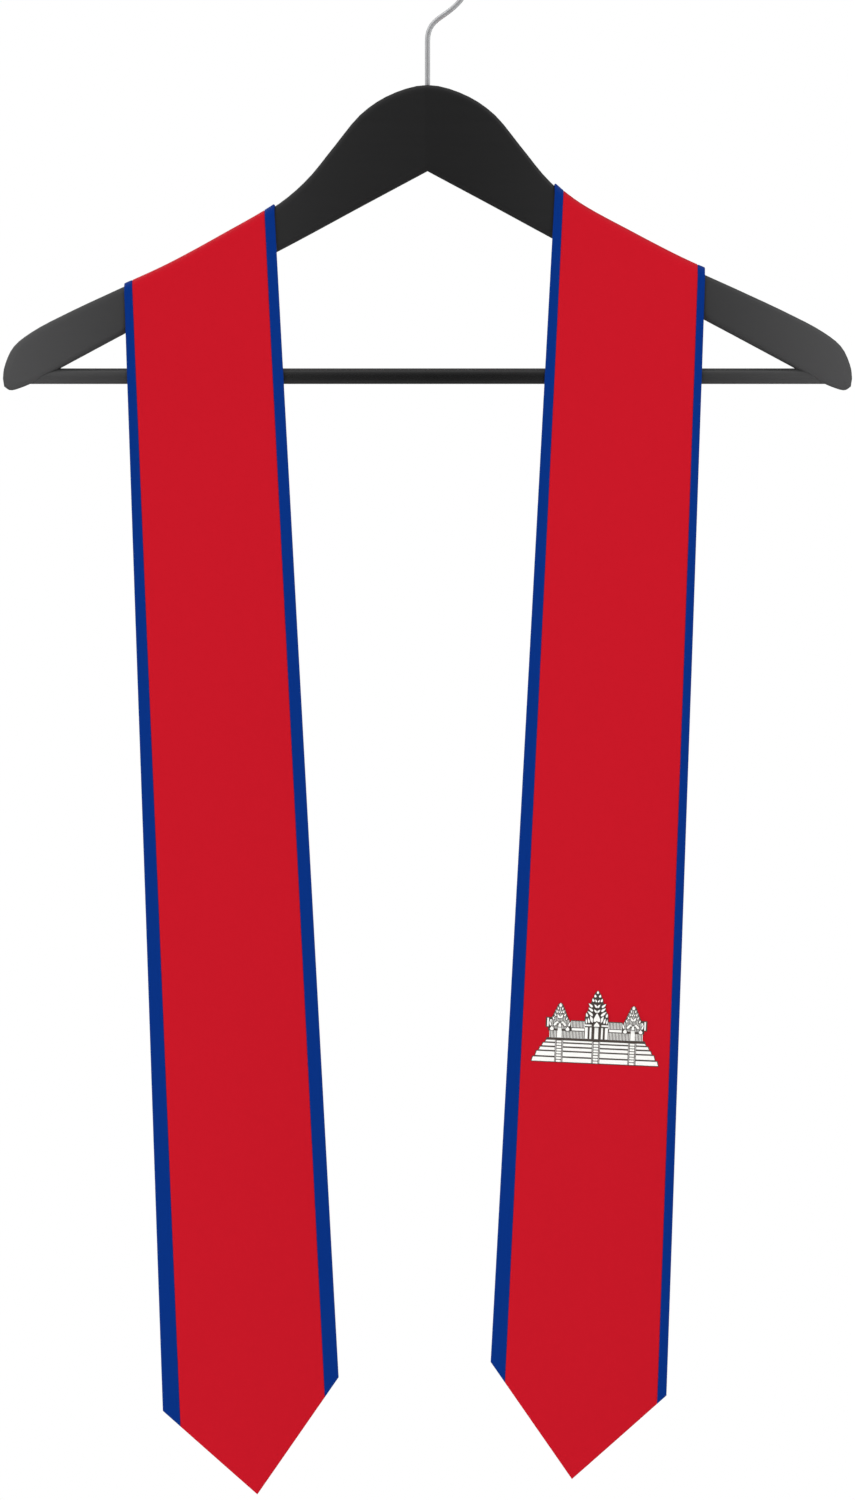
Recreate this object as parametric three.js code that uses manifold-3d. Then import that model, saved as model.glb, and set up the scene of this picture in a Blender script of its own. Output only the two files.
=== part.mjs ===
// A graduation stole on its coat hanger. Two red straps with blue trims hang over the hanger's
// arms, end in points, and meet behind the arch in a gathered neck with a seam in the middle.
// Millimetres, +Z up. The origin is the inside top of the hook, where it rests on a rail.
// The front faces -Y, and +X is the viewer's right. "Reach" is a distance from the middle plane.
import * as THREE from "three";
import { mergeVertices } from "three/addons/utils/BufferGeometryUtils.js";
import { TessellateModifier } from "three/addons/modifiers/TessellateModifier.js";
import Module from "manifold-3d";

// Clearances
const FIT_GAP = 0.35; // between the hanger's pieces
const SEAM_GAP = 0.5; // between two pieces of cloth
const REST_GAP = 0.6; // between the cloth and the hanger
const LOOSE_GAP = 0.4; // more of it behind the arch and before the bar

// Hook
const WIRE = 3;
const HOOK_RADIUS = 24.7; // to the middle of the wire
const HOOK_RISE = 88.5; // from the arch's crown to the inside of the hook
const HOOK_STEM = 26; // straight wire above the crown
const HOOK_SEAT = 25; // wire inside the hanger
const HOOK_JOIN = -44; // degrees: where the bend from the stem meets the round
const HOOK_END = 204; // degrees: where the round ends
const HOOK_PULL = 0.455; // how far the bend keeps to its ends' directions, as a share of its length
const HOOK_BALL = 4.6; // diameter of the ball on the wire's end

// Hanger body
const HANGER_SPAN = 500;
const HANGER_DROP = 180; // from the crown to the arms' lowest point
const ARM_THICK = 14;
const ARM_EDGE = 4; // radius of the rounded edges
const ARM_EDGE_SHARE = 0.45; // and the most that it may be of a section's height
const ARM_BOW = 10; // how far the arms' ends stand forward of the crown

// Bar
const BAR_DIAMETER = 9.2;
const BAR_ABOVE_TIP = 8.2; // from the arms' lowest point up to the bar's middle
const BAR_INSET = 12; // from the arm's end to the bar's end

// Cloth
const CLOTH = 1.3; // doubled satin with its stiffener
const INNER_REACH = 90; // middle plane to the left strap's inner edge, on the shoulder
const STRAP_TOP_WIDTH = 88.4;
const OUTER_DEPTH = 780.3; // crown to the left strap's outer corner
const INNER_DEPTH = 760.5;
const OUTER_LEAN = 22.8; // how far the outer edge comes inwards on its way down
const INNER_LEAN = 37.8;
const TIP_DROP = 49; // outer corner down to the point
const TIP_INSET = 55.6; // outer corner in to the point
const TRIM = 10; // the widest band of trim, at the end
const BELLY = 3; // how far the middle of a strap stands forward of its edges
const SWAY = 2; // depth of the slow wave down a strap
const SWAY_LENGTH = 430;
const FOLD_TURN = 0.4; // share of the way over an arm that each of its two rounded edges takes

// Neck
const NECK_TOP_MARGIN = 3.2; // from the arch's top edge down to the neck's edge
const NECK_BOTTOM_MARGIN = 3.4; // from the arch's lower edge up to the neck's edge
const NECK_DIP = 8; // how far the neck's inner edge sinks behind the shoulder
const NECK_TRIM = 4;
const NECK_TURN = 0.35; // share of the neck in which the strap turns off the arm
const NECK_PULL = 1.5; // how slowly the neck leaves the shoulder, as a power
const GATHERS = 3;
const GATHER_STEEPNESS = 0.36; // a gather's depth over its width

// Emblem: a temple with three towers on five steps
const EMBLEM_THICK = 1;
const EMBLEM_WIDTH = 74.4;
const EMBLEM_FACE_GAP = 0.7;
const EMBLEM_DROP = 484.4; // from the shoulder down to the steps' lower edge
const EMBLEM_SHIFT = 1.1; // outwards from the strap's middle line
const STEP_TOTAL_RISE = 14;
const GALLERY_RISE = 10.8;
const GALLERY_WIDTH = 55;
const TOWER_RISE = 28.8;
const TOWER_WIDTH = 14;
const SIDE_TOWER_SHARE = 0.74; // of the middle tower's rise
const SIDE_TOWER_REACH = 21.5;

// left and right are as seen from the front. reach is a share of INNER_REACH. raised is how much
// shorter the strap hangs, as a share of TIP_DROP, and lift is how far its outer edge stands off the
// shoulder, as a share of CLOTH. The trims' widths, at the shoulder and at the end, are shares of TRIM.
const STRAPS = [
  { name: "left", side: -1, reach: 1, raised: 0, lift: 0,
    outerTop: 0.48, outerEnd: 1.05, innerTop: 0.58, innerEnd: 0.82 },
  { name: "right", side: 1, reach: 0.832, raised: 0.184, lift: 2,
    outerTop: 0.44, outerEnd: 0.56, innerTop: 0.5, innerEnd: 0.85 },
];

// Sections of an arm from the crown to its end. Reaches are shares of half the span, drops of
// HANGER_DROP.
const ARM_SECTIONS = [
  { topReach: 0, topDrop: 0, lowReach: 0, lowDrop: 0.281 },
  { topReach: 0.085, topDrop: 0.03, lowReach: 0.094, lowDrop: 0.351 },
  { topReach: 0.155, topDrop: 0.093, lowReach: 0.165, lowDrop: 0.404 },
  { topReach: 0.221, topDrop: 0.203, lowReach: 0.231, lowDrop: 0.454 },
  { topReach: 0.282, topDrop: 0.307, lowReach: 0.296, lowDrop: 0.503 },
  { topReach: 0.348, topDrop: 0.387, lowReach: 0.372, lowDrop: 0.559 },
  { topReach: 0.482, topDrop: 0.497, lowReach: 0.499, lowDrop: 0.654 },
  { topReach: 0.612, topDrop: 0.595, lowReach: 0.616, lowDrop: 0.742 },
  { topReach: 0.729, topDrop: 0.67, lowReach: 0.725, lowDrop: 0.823 },
  { topReach: 0.847, topDrop: 0.747, lowReach: 0.833, lowDrop: 0.904 },
  { topReach: 0.932, topDrop: 0.81, lowReach: 0.912, lowDrop: 0.963 },
  { topReach: 0.976, topDrop: 0.86, lowReach: 0.954, lowDrop: 0.99 },
  { topReach: 0.997, topDrop: 0.926, lowReach: 0.983, lowDrop: 1 },
  { topReach: 1, topDrop: 0.962, lowReach: 0.997, lowDrop: 0.988 },
];

// The temple's steps from the ground up, as shares of the emblem's width and the steps' rise.
const STEPS = [
  { width: 1, rise: 0.27 },
  { width: 0.945, rise: 0.225 },
  { width: 0.89, rise: 0.195 },
  { width: 0.845, rise: 0.17 },
  { width: 0.795, rise: 0.14 },
];

// A tower's outline from the ground up, as shares of its rise and of its width.
const TOWER = [
  { up: 0, wide: 0.9 },
  { up: 0.32, wide: 1 },
  { up: 0.4, wide: 0.96 },
  { up: 0.56, wide: 0.76 },
  { up: 0.74, wide: 0.5 },
  { up: 0.9, wide: 0.24 },
  { up: 1, wide: 0.05 },
];

const FINISHES = {
  satin: { color: 0xc81928, roughness: 0.55, metalness: 0 },
  trim: { color: 0x0b3080, roughness: 0.55, metalness: 0 },
  patch: { color: 0xf4f2ec, roughness: 0.7, metalness: 0 },
  paint: { color: 0x262626, roughness: 0.4, metalness: 0 },
  chrome: { color: 0xb4b4b4, roughness: 0.15, metalness: 1 },
};

const ARM_STATIONS = 26;
const EDGE_STEPS = 3; // segments of a rounded edge of the hanger
const BAR_SIDES = 24;
const WIRE_SIDES = 10;
const HOOK_STEPS = 42;
const BEND_POINTS = 8;
const ROUND_POINTS = 18;
const BALL_RINGS = 8;
const FRONT_STATIONS = 11;
const FRONT_CROWDING = 1.7; // how much closer the stations are at the shoulder, as a power
const FOLD_STATIONS = 10;
const NECK_STATIONS = 13;
const NECK_CROWDING = 1.4;
const PANEL_COLUMNS = GATHERS * 6;
const TRIM_COLUMNS = 2;
const EMBLEM_CELL = 11; // longest edge of the emblem's triangles, so that it bends with the cloth
const EMBLEM_SPLITS = 7; // and how often they may be halved for it
const PLACING_ROUNDS = 6;
const NEAR = 1e-3; // step of a slope along the strap, and points nearer than this are one
const STRAP_END = 3; // along at the neck's seam
const NEAR_ACROSS = 0.012; // and across it, wide enough to even out a seam's crease

// Sizes that follow from the ones above
const HALF_SPAN = HANGER_SPAN / 2;
const CROWN_Z = -HOOK_RISE;
const BAR_RADIUS = BAR_DIAMETER / 2;
const BAR_REACH = HALF_SPAN - BAR_INSET;
const BAR_Z = CROWN_Z - HANGER_DROP + BAR_ABOVE_TIP;
const BAR_Y = armMiddle(BAR_REACH);
const CLOTH_OFF = REST_GAP + CLOTH / 2; // from the hanger's skin to the middle of the cloth

const wasm = await Module();
wasm.setup();

function lerp(from, to, share) {
  return from + (to - from) * share;
}

function clamp(value, low = 0, high = 1) {
  return Math.min(high, Math.max(low, value));
}

// 0 up to 0, 1 from 1, and smooth between.
function ease(share) {
  const t = clamp(share);
  return t * t * (3 - 2 * t);
}

function radians(degrees) {
  return (degrees * Math.PI) / 180;
}

// The hanger's middle surface at a reach.
function armMiddle(reach) {
  return -ARM_BOW * (reach / HALF_SPAN) ** 2;
}

// An arm's upper or lower outline, from the crown to the arm's end, as a curve of (reach, z).
function armOutline(reachOf, dropOf, mirrored) {
  const half = ARM_SECTIONS.map(
    (row) => new THREE.Vector3(row[reachOf] * HALF_SPAN, CROWN_Z - row[dropOf] * HANGER_DROP, 0),
  );
  const other = half.slice(1).reverse().map((p) => new THREE.Vector3(-p.x, p.y, 0));
  const curve = new THREE.CatmullRomCurve3(mirrored ? [...other, ...half] : half, false, "centripetal");
  return (share) => curve.getPoint(mirrored ? (1 + share) / 2 : share);
}

const upperOutline = armOutline("topReach", "topDrop", true);
const lowerOutline = armOutline("lowReach", "lowDrop", false);

// z of an outline above or below a reach, read off the same straight stretches that the body has.
function heightAt(outline) {
  const line = Array.from({ length: ARM_STATIONS + 1 }, (_, i) => outline(i / ARM_STATIONS));
  return (reach) => {
    const end = line.findIndex((p, i) => i > 0 && p.x >= reach);
    const [a, b] = end < 0 ? line.slice(-2) : [line[end - 1], line[end]];
    return lerp(a.y, b.y, (reach - a.x) / (b.x - a.x));
  };
}

const armTop = heightAt(upperOutline);
const armBottom = heightAt(lowerOutline);

// Height of the cloth's middle over an arm: its clearance is square to the slope.
function clothTop(strap, across) {
  const reach = shoulderReach(strap, across);
  const slope = (armTop(reach + NEAR) - armTop(reach - NEAR)) / (2 * NEAR);
  return armTop(reach) + CLOTH_OFF * Math.hypot(1, slope) + strap.lift * CLOTH * (1 - across);
}

// A closed body through rings with the same number of points.
function loft(rings) {
  const count = rings[0].length;
  const points = rings.flat();
  const faces = [];
  for (let k = 0; k + 1 < rings.length; k++) {
    for (let i = 0; i < count; i++) {
      const a = k * count + i;
      const b = k * count + ((i + 1) % count);
      faces.push([a, b, b + count], [a, b + count, a + count]);
    }
  }
  const last = (rings.length - 1) * count;
  for (let i = 1; i + 1 < count; i++) {
    faces.push([0, i + 1, i], [last, last + i, last + i + 1]);
  }
  return bodyOf(points, faces);
}

// A geometry from points and triangles, turned the right way out.
function bodyOf(points, faces) {
  const volume = faces.reduce(
    (sum, [a, b, c]) => sum + points[a].dot(new THREE.Vector3().crossVectors(points[b], points[c])),
    0,
  );
  const outward = volume > 0 ? faces : faces.map(([a, b, c]) => [a, c, b]);
  const geometry = new THREE.BufferGeometry().setFromPoints(points);
  return geometry.setIndex(outward.flat());
}

function solidOf(geometry) {
  const bare = geometry.clone();
  bare.deleteAttribute("normal");
  bare.deleteAttribute("uv");
  const merged = mergeVertices(bare, NEAR);
  return new wasm.Manifold(
    new wasm.Mesh({
      numProp: 3,
      vertProperties: new Float32Array(merged.attributes.position.array),
      triVerts: new Uint32Array(merged.index.array),
    }),
  );
}

function geometryOf(solid) {
  const mesh = solid.getMesh();
  const geometry = new THREE.BufferGeometry();
  geometry.setAttribute("position", new THREE.BufferAttribute(mesh.vertProperties, 3));
  return geometry.setIndex(new THREE.BufferAttribute(mesh.triVerts, 1));
}

function rod(radius, length, sides) {
  return new THREE.CylinderGeometry(radius, radius, length, sides);
}

// One section of the hanger between a point of its upper and one of its lower outline.
function hangerRing(top, low, side) {
  const half = ARM_THICK / 2;
  const up = new THREE.Vector3(side * (top.x - low.x), 0, top.y - low.y);
  const height = up.length();
  up.normalize();
  const foot = new THREE.Vector3(side * low.x, armMiddle((top.x + low.x) / 2), low.y);
  const edge = Math.min(ARM_EDGE, height * ARM_EDGE_SHARE);
  const corners = [
    { y: half - edge, up: height - edge, turn: 0 },
    { y: edge - half, up: height - edge, turn: 90 },
    { y: edge - half, up: edge, turn: 180 },
    { y: half - edge, up: edge, turn: 270 },
  ];
  return corners.flatMap((corner) =>
    Array.from({ length: EDGE_STEPS + 1 }, (_, i) => {
      const turn = radians(corner.turn + (90 * i) / EDGE_STEPS);
      return foot
        .clone()
        .addScaledVector(up, corner.up + edge * Math.sin(turn))
        .add(new THREE.Vector3(0, corner.y + edge * Math.cos(turn), 0));
    }),
  );
}

// The arch and both arms, drilled for the hook and for the bar's ends.
function hangerBody() {
  const rings = [];
  for (let i = -ARM_STATIONS; i <= ARM_STATIONS; i++) {
    const share = Math.abs(i) / ARM_STATIONS;
    rings.push(hangerRing(upperOutline(share), lowerOutline(share), i < 0 ? -1 : 1));
  }
  const socket = rod(BAR_RADIUS + FIT_GAP, 2 * (BAR_REACH + FIT_GAP), BAR_SIDES)
    .rotateZ(Math.PI / 2)
    .translate(0, BAR_Y, BAR_Z);
  const hole = rod(WIRE / 2 + FIT_GAP, 2 * (HOOK_SEAT + FIT_GAP), BAR_SIDES)
    .rotateX(Math.PI / 2)
    .translate(0, 0, CROWN_Z);
  return geometryOf(solidOf(loft(rings)).subtract(solidOf(socket)).subtract(solidOf(hole)));
}

// The wire: up from its seat, over in a bend to the right, and round to the left.
function hangerHook() {
  const centreZ = WIRE / 2 - HOOK_RADIUS;
  const onRound = (degrees) =>
    new THREE.Vector3(
      HOOK_RADIUS * Math.cos(radians(degrees)),
      0,
      centreZ + HOOK_RADIUS * Math.sin(radians(degrees)),
    );
  const join = onRound(HOOK_JOIN);
  const along = new THREE.Vector3(-Math.sin(radians(HOOK_JOIN)), 0, Math.cos(radians(HOOK_JOIN)));
  const bendFoot = new THREE.Vector3(0, 0, CROWN_Z + HOOK_STEM);
  const pull = join.distanceTo(bendFoot) * HOOK_PULL;
  const bend = new THREE.CubicBezierCurve3(
    bendFoot,
    bendFoot.clone().add(new THREE.Vector3(0, 0, pull)),
    join.clone().addScaledVector(along, -pull),
    join,
  );
  const points = [new THREE.Vector3(0, 0, CROWN_Z - HOOK_SEAT), new THREE.Vector3(0, 0, CROWN_Z)];
  points.push(...bend.getPoints(BEND_POINTS));
  for (let i = 1; i <= ROUND_POINTS; i++) {
    points.push(onRound(lerp(HOOK_JOIN, HOOK_END, i / ROUND_POINTS)));
  }
  const wire = new THREE.ExtrudeGeometry(
    new THREE.Shape(new THREE.EllipseCurve(0, 0, WIRE / 2, WIRE / 2).getPoints(WIRE_SIDES).slice(0, -1)),
    { steps: HOOK_STEPS, extrudePath: new THREE.CatmullRomCurve3(points, false, "centripetal") },
  );
  const ball = new THREE.SphereGeometry(HOOK_BALL / 2, WIRE_SIDES, BALL_RINGS);
  ball.translate(...onRound(HOOK_END).toArray());
  return geometryOf(solidOf(wire).add(solidOf(ball)));
}

// Reach of a strap's point on the shoulder. across is 0 on the outer edge and 1 on the inner one.
function shoulderReach(strap, across) {
  return INNER_REACH * strap.reach + STRAP_TOP_WIDTH * (1 - across);
}

function endReach(strap, across) {
  return lerp(shoulderReach(strap, 0) - OUTER_LEAN, shoulderReach(strap, 1) - INNER_LEAN, across);
}

function tipShare(strap) {
  return TIP_INSET / (endReach(strap, 0) - endReach(strap, 1));
}

// The pointed end: two straight cuts that meet at the tip.
function endZ(strap, across) {
  const level = CROWN_Z + strap.raised * TIP_DROP;
  const outer = level - OUTER_DEPTH;
  const inner = level - INNER_DEPTH;
  const tip = tipShare(strap);
  return across < tip
    ? lerp(outer, outer - TIP_DROP, across / tip)
    : lerp(outer - TIP_DROP, inner, (across - tip) / (1 - tip));
}

// Depth of the hanging front: off the arm, out to the bar, then down with a belly and a sway.
function frontY(strap, across, z) {
  const reach = shoulderReach(strap, across);
  const start = armTop(reach) - ARM_EDGE;
  const arm = armMiddle(reach) - ARM_THICK / 2 - CLOTH_OFF;
  const bar = BAR_Y - BAR_RADIUS - CLOTH_OFF - LOOSE_GAP;
  const below = BAR_Z - z;
  const loose = ease(below / (SWAY_LENGTH / 2));
  const belly = BELLY * (1 - (2 * across - 1) ** 2);
  const sway = SWAY * Math.sin((2 * Math.PI * below) / SWAY_LENGTH);
  return lerp(arm, bar, ease((start - z) / (start - BAR_Z))) - loose * (belly + sway);
}

function frontPoint(strap, across, up) {
  const reach = lerp(endReach(strap, across), shoulderReach(strap, across), up);
  const top = armTop(shoulderReach(strap, across)) - ARM_EDGE;
  const z = lerp(endZ(strap, across), top, up);
  return new THREE.Vector3(strap.side * reach, frontY(strap, across, z), z);
}

// Over the arm: a rounded front edge, the flat top and a rounded back edge.
function foldPoint(strap, across, share) {
  const reach = shoulderReach(strap, across);
  const flat = ARM_THICK / 2 - ARM_EDGE;
  const rise = clothTop(strap, across) - armTop(reach) + ARM_EDGE;
  const onTop = clamp((share - FOLD_TURN) / (1 - 2 * FOLD_TURN));
  const turn = Math.max(0, 1 - share / FOLD_TURN);
  const turnBack = Math.max(0, 1 - (1 - share) / FOLD_TURN);
  const swing = ((turn - turnBack) * Math.PI) / 2;
  const y = armMiddle(reach) + lerp(-flat, flat, onTop) - (ARM_EDGE + CLOTH_OFF) * Math.sin(swing);
  return new THREE.Vector3(strap.side * reach, y, armTop(reach) - ARM_EDGE + rise * Math.cos(swing));
}

// Behind the arm: the strap turns inwards, narrows to the height of the arch, and gathers.
function neckPoint(strap, across, share) {
  const reach = lerp(shoulderReach(strap, across), SEAM_GAP / 2, share ** NECK_PULL);
  const turned = ease(share / NECK_TURN);
  const low = armBottom(reach) + NECK_BOTTOM_MARGIN;
  const high = armTop(reach) - NECK_TOP_MARGIN - NECK_DIP * (1 - turned);
  const [outer, inner] = trimShares(strap, 2 + share);
  const trim = NECK_TRIM / (high - low);
  const level = spread(across, outer, inner, lerp(outer, trim, turned), lerp(inner, 1 - trim, turned));
  const z = lerp(armTop(reach) - ARM_EDGE, lerp(low, high, level), turned);
  const panel = clamp((across - outer) / (inner - outer));
  const depth = (GATHER_STEEPNESS * (high - low - 2 * NECK_TRIM)) / GATHERS;
  const gather = (depth / 2) * (1 - Math.cos(2 * Math.PI * GATHERS * panel));
  const skin = armMiddle(reach) + ARM_THICK / 2 + CLOTH_OFF;
  return new THREE.Vector3(strap.side * reach, skin + turned * (gather + LOOSE_GAP), z);
}

// Moves the marks from and to inside 0 to 1 to newFrom and newTo, straight between.
function spread(value, from, to, newFrom, newTo) {
  if (value < from) {
    return (value / from) * newFrom;
  }
  return value > to
    ? lerp(newTo, 1, (value - to) / (1 - to))
    : lerp(newFrom, newTo, (value - from) / (to - from));
}

// along is 0 to 1 up the front, 1 to 2 over the arm, and 2 to 3 along the neck to the seam.
function strapPoint(strap, across, along) {
  if (along <= 1) {
    return frontPoint(strap, across, along);
  }
  return along <= 2 ? foldPoint(strap, across, along - 1) : neckPoint(strap, across, along - 2);
}

// Where the trims' inner edges run, as values of across.
function trimShares(strap, along) {
  const up = Math.min(1, along);
  const width = lerp(endReach(strap, 0) - endReach(strap, 1), STRAP_TOP_WIDTH, up);
  const outer = (lerp(strap.outerEnd, strap.outerTop, up) * TRIM) / width;
  return [outer, 1 - (lerp(strap.innerEnd, strap.innerTop, up) * TRIM) / width];
}

// The strap's direction along and its face's normal, each as long as the step that gave it.
function strapSlopes(strap, across, along) {
  const a = clamp(across, NEAR_ACROSS, 1 - NEAR_ACROSS);
  const s = clamp(along, NEAR, STRAP_END - NEAR);
  const wide = strapPoint(strap, a + NEAR_ACROSS, s).sub(strapPoint(strap, a - NEAR_ACROSS, s));
  const long = strapPoint(strap, a, s + NEAR).sub(strapPoint(strap, a, s - NEAR));
  const normal = new THREE.Vector3().crossVectors(wide, long);
  if (along === STRAP_END) {
    normal.x = 0; // the seam's face is flat
  }
  return { long, normal };
}

// Half the seam's gap as a step of across, measured on the strip beside the seam.
function seamStep(strap, across, along) {
  const { long, normal } = strapSlopes(strap, across, along);
  return (SEAM_GAP * NEAR_ACROSS * long.length()) / normal.length();
}

// Stations from the pointed end to the neck's seam, closer at the shoulder and at the turn.
function strapStations() {
  const shares = (count) => Array.from({ length: count }, (_, i) => i / count);
  const front = shares(FRONT_STATIONS).map((share) => 1 - (1 - share) ** FRONT_CROWDING);
  const fold = shares(FOLD_STATIONS).map((share) => 1 + share);
  const neck = shares(NECK_STATIONS).map((share) => 2 + share ** NECK_CROWDING);
  return [...front, ...fold, ...neck, STRAP_END];
}

// A wall of cloth between two seams or edges of a strap, which are values of across.
function clothWall(strap, boundsAt, columns) {
  const rings = strapStations().map((along) => {
    const [from, to] = boundsAt(along);
    const start = from > 0 ? from + seamStep(strap, from + NEAR_ACROSS, along) : 0;
    const end = to < 1 ? to - seamStep(strap, to - NEAR_ACROSS, along) : 1;
    const ring = { front: [], back: [] };
    for (const column of columns) {
      const middle = strapPoint(strap, lerp(start, end, column), along);
      const { normal } = strapSlopes(strap, lerp(from, to, column), along);
      normal.setLength(CLOTH / 2);
      ring.front.push(middle.clone().add(normal));
      ring.back.unshift(middle.clone().sub(normal));
    }
    return [...ring.front, ...ring.back];
  });
  return wallBody(rings, columns.length);
}

// Rings of a thin wall: the first half of a ring is its front and the rest its back.
function wallBody(rings, wide) {
  const count = rings[0].length;
  const faces = [];
  for (let k = 0; k + 1 < rings.length; k++) {
    for (let i = 0; i < count; i++) {
      const a = k * count + i;
      const b = k * count + ((i + 1) % count);
      faces.push([a, b, b + count], [a, b + count, a + count]);
    }
  }
  for (const [start, turn] of [[0, 1], [(rings.length - 1) * count, 0]]) {
    for (let i = 0; i + 1 < wide; i++) {
      const [a, b, c, d] = [i, i + 1, count - 2 - i, count - 1 - i].map((n) => start + n);
      faces.push(...(turn ? [[a, c, b], [a, d, c]] : [[a, b, c], [a, c, d]]));
    }
  }
  return bodyOf(rings.flat(), faces);
}

function evenColumns(count) {
  return Array.from({ length: count + 1 }, (_, i) => i / count);
}

// Even columns, with the one nearest to the strap's tip moved onto it.
function panelColumns(strap) {
  const [outer, inner] = trimShares(strap, 0);
  const tip = (tipShare(strap) - outer) / (inner - outer);
  const columns = evenColumns(PANEL_COLUMNS);
  columns[Math.round(tip * PANEL_COLUMNS)] = tip;
  return columns;
}

function strapPanel(strap) {
  return clothWall(strap, (along) => trimShares(strap, along), panelColumns(strap));
}

function outerTrim(strap) {
  return clothWall(strap, (along) => [0, trimShares(strap, along)[0]], evenColumns(TRIM_COLUMNS));
}

function innerTrim(strap) {
  return clothWall(strap, (along) => [trimShares(strap, along)[1], 1], evenColumns(TRIM_COLUMNS));
}

function slab(outline) {
  const shape = new THREE.Shape(outline.map(([x, y]) => new THREE.Vector2(x, y)));
  return solidOf(new THREE.ExtrudeGeometry(shape, { depth: EMBLEM_THICK, bevelEnabled: false }));
}

function block(width, foot, head) {
  return slab([[-width / 2, foot], [width / 2, foot], [width / 2, head], [-width / 2, head]]);
}

function tower(reach, rise, width) {
  const right = TOWER.map((row) => [reach + (row.wide * width) / 2, row.up * rise]);
  const left = TOWER.map((row) => [reach - (row.wide * width) / 2, row.up * rise]);
  return slab([...right, ...left.reverse()].map(([x, y]) => [x, y + STEP_TOTAL_RISE]));
}

// The emblem, flat: its middle foot is at (0, 0) and its face looks along +Z.
function flatEmblem() {
  let foot = 0;
  let solid = null;
  for (const step of STEPS) {
    const head = foot + step.rise * STEP_TOTAL_RISE;
    const next = block(step.width * EMBLEM_WIDTH, foot, head);
    solid = solid ? solid.add(next) : next;
    foot = head;
  }
  solid = solid.add(block(GALLERY_WIDTH, STEP_TOTAL_RISE, STEP_TOTAL_RISE + GALLERY_RISE));
  solid = solid.add(tower(0, TOWER_RISE, TOWER_WIDTH));
  for (const side of [-1, 1]) {
    solid = solid.add(tower(side * SIDE_TOWER_REACH, TOWER_RISE * SIDE_TOWER_SHARE, TOWER_WIDTH));
  }
  return geometryOf(solid);
}

// across of a front point, from its reach and z.
function acrossAt(strap, reach, z) {
  let across = 0.5;
  for (let i = 0; i < PLACING_ROUNDS; i++) {
    const top = armTop(shoulderReach(strap, across)) - ARM_EDGE;
    const up = (z - endZ(strap, across)) / (top - endZ(strap, across));
    const outer = lerp(endReach(strap, 0), shoulderReach(strap, 0), up);
    const inner = lerp(endReach(strap, 1), shoulderReach(strap, 1), up);
    across = (outer - reach) / (outer - inner);
  }
  return across;
}

// The emblem laid on the right strap's face, upright on the strap's middle line.
function emblem(strap) {
  const foot = frontPoint(strap, 0, 0).add(frontPoint(strap, 1, 0)).multiplyScalar(0.5);
  const head = frontPoint(strap, 0.5, 1);
  const up = new THREE.Vector3(head.x - foot.x, 0, head.z - foot.z).normalize();
  const right = new THREE.Vector3(up.z, 0, -up.x);
  const place = head.clone().addScaledVector(up, -EMBLEM_DROP).addScaledVector(right, EMBLEM_SHIFT);
  const flat = new TessellateModifier(EMBLEM_CELL, EMBLEM_SPLITS).modify(flatEmblem().toNonIndexed());
  const position = flat.attributes.position;
  for (let i = 0; i < position.count; i++) {
    const point = place
      .clone()
      .addScaledVector(right, position.getX(i))
      .addScaledVector(up, position.getY(i));
    const across = acrossAt(strap, strap.side * point.x, point.z);
    const face = frontY(strap, across, point.z) - CLOTH / 2 - EMBLEM_FACE_GAP;
    position.setXYZ(i, point.x, face - position.getZ(i), point.z);
  }
  return mergeVertices(flat, NEAR);
}

// A named piece with a material of its own.
function piece(name, geometry, { color, roughness, metalness }) {
  const mesh = new THREE.Mesh(geometry, new THREE.MeshStandardMaterial({ color, roughness, metalness }));
  mesh.name = name;
  return mesh;
}

const hanger = new THREE.Group();
hanger.add(piece("hanger_body", hangerBody(), FINISHES.paint));
hanger.add(piece("hanger_hook", hangerHook(), FINISHES.chrome));
const bar = piece("hanger_bar", rod(BAR_RADIUS, 2 * BAR_REACH, BAR_SIDES), FINISHES.paint);
bar.rotation.z = Math.PI / 2;
bar.position.set(0, BAR_Y, BAR_Z);
hanger.add(bar);

const stole = new THREE.Group();
for (const strap of STRAPS) {
  stole.add(piece(`${strap.name}_panel`, strapPanel(strap), FINISHES.satin));
  stole.add(piece(`${strap.name}_outer_trim`, outerTrim(strap), FINISHES.trim));
  stole.add(piece(`${strap.name}_inner_trim`, innerTrim(strap), FINISHES.trim));
}
stole.add(piece("emblem", emblem(STRAPS[1]), FINISHES.patch));

const part = new THREE.Group();
part.add(hanger, stole);
export default part;
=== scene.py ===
"""A graduation stole over a black coat hanger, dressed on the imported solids.

Metres, +Z up. The origin is the inside top of the hook, the front faces -Y, and left and right are
as seen from the front. "Reach" is a distance from the middle plane.
"""

import math

import bmesh
import bpy
import numpy as np
from mathutils import Matrix, Vector


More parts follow.
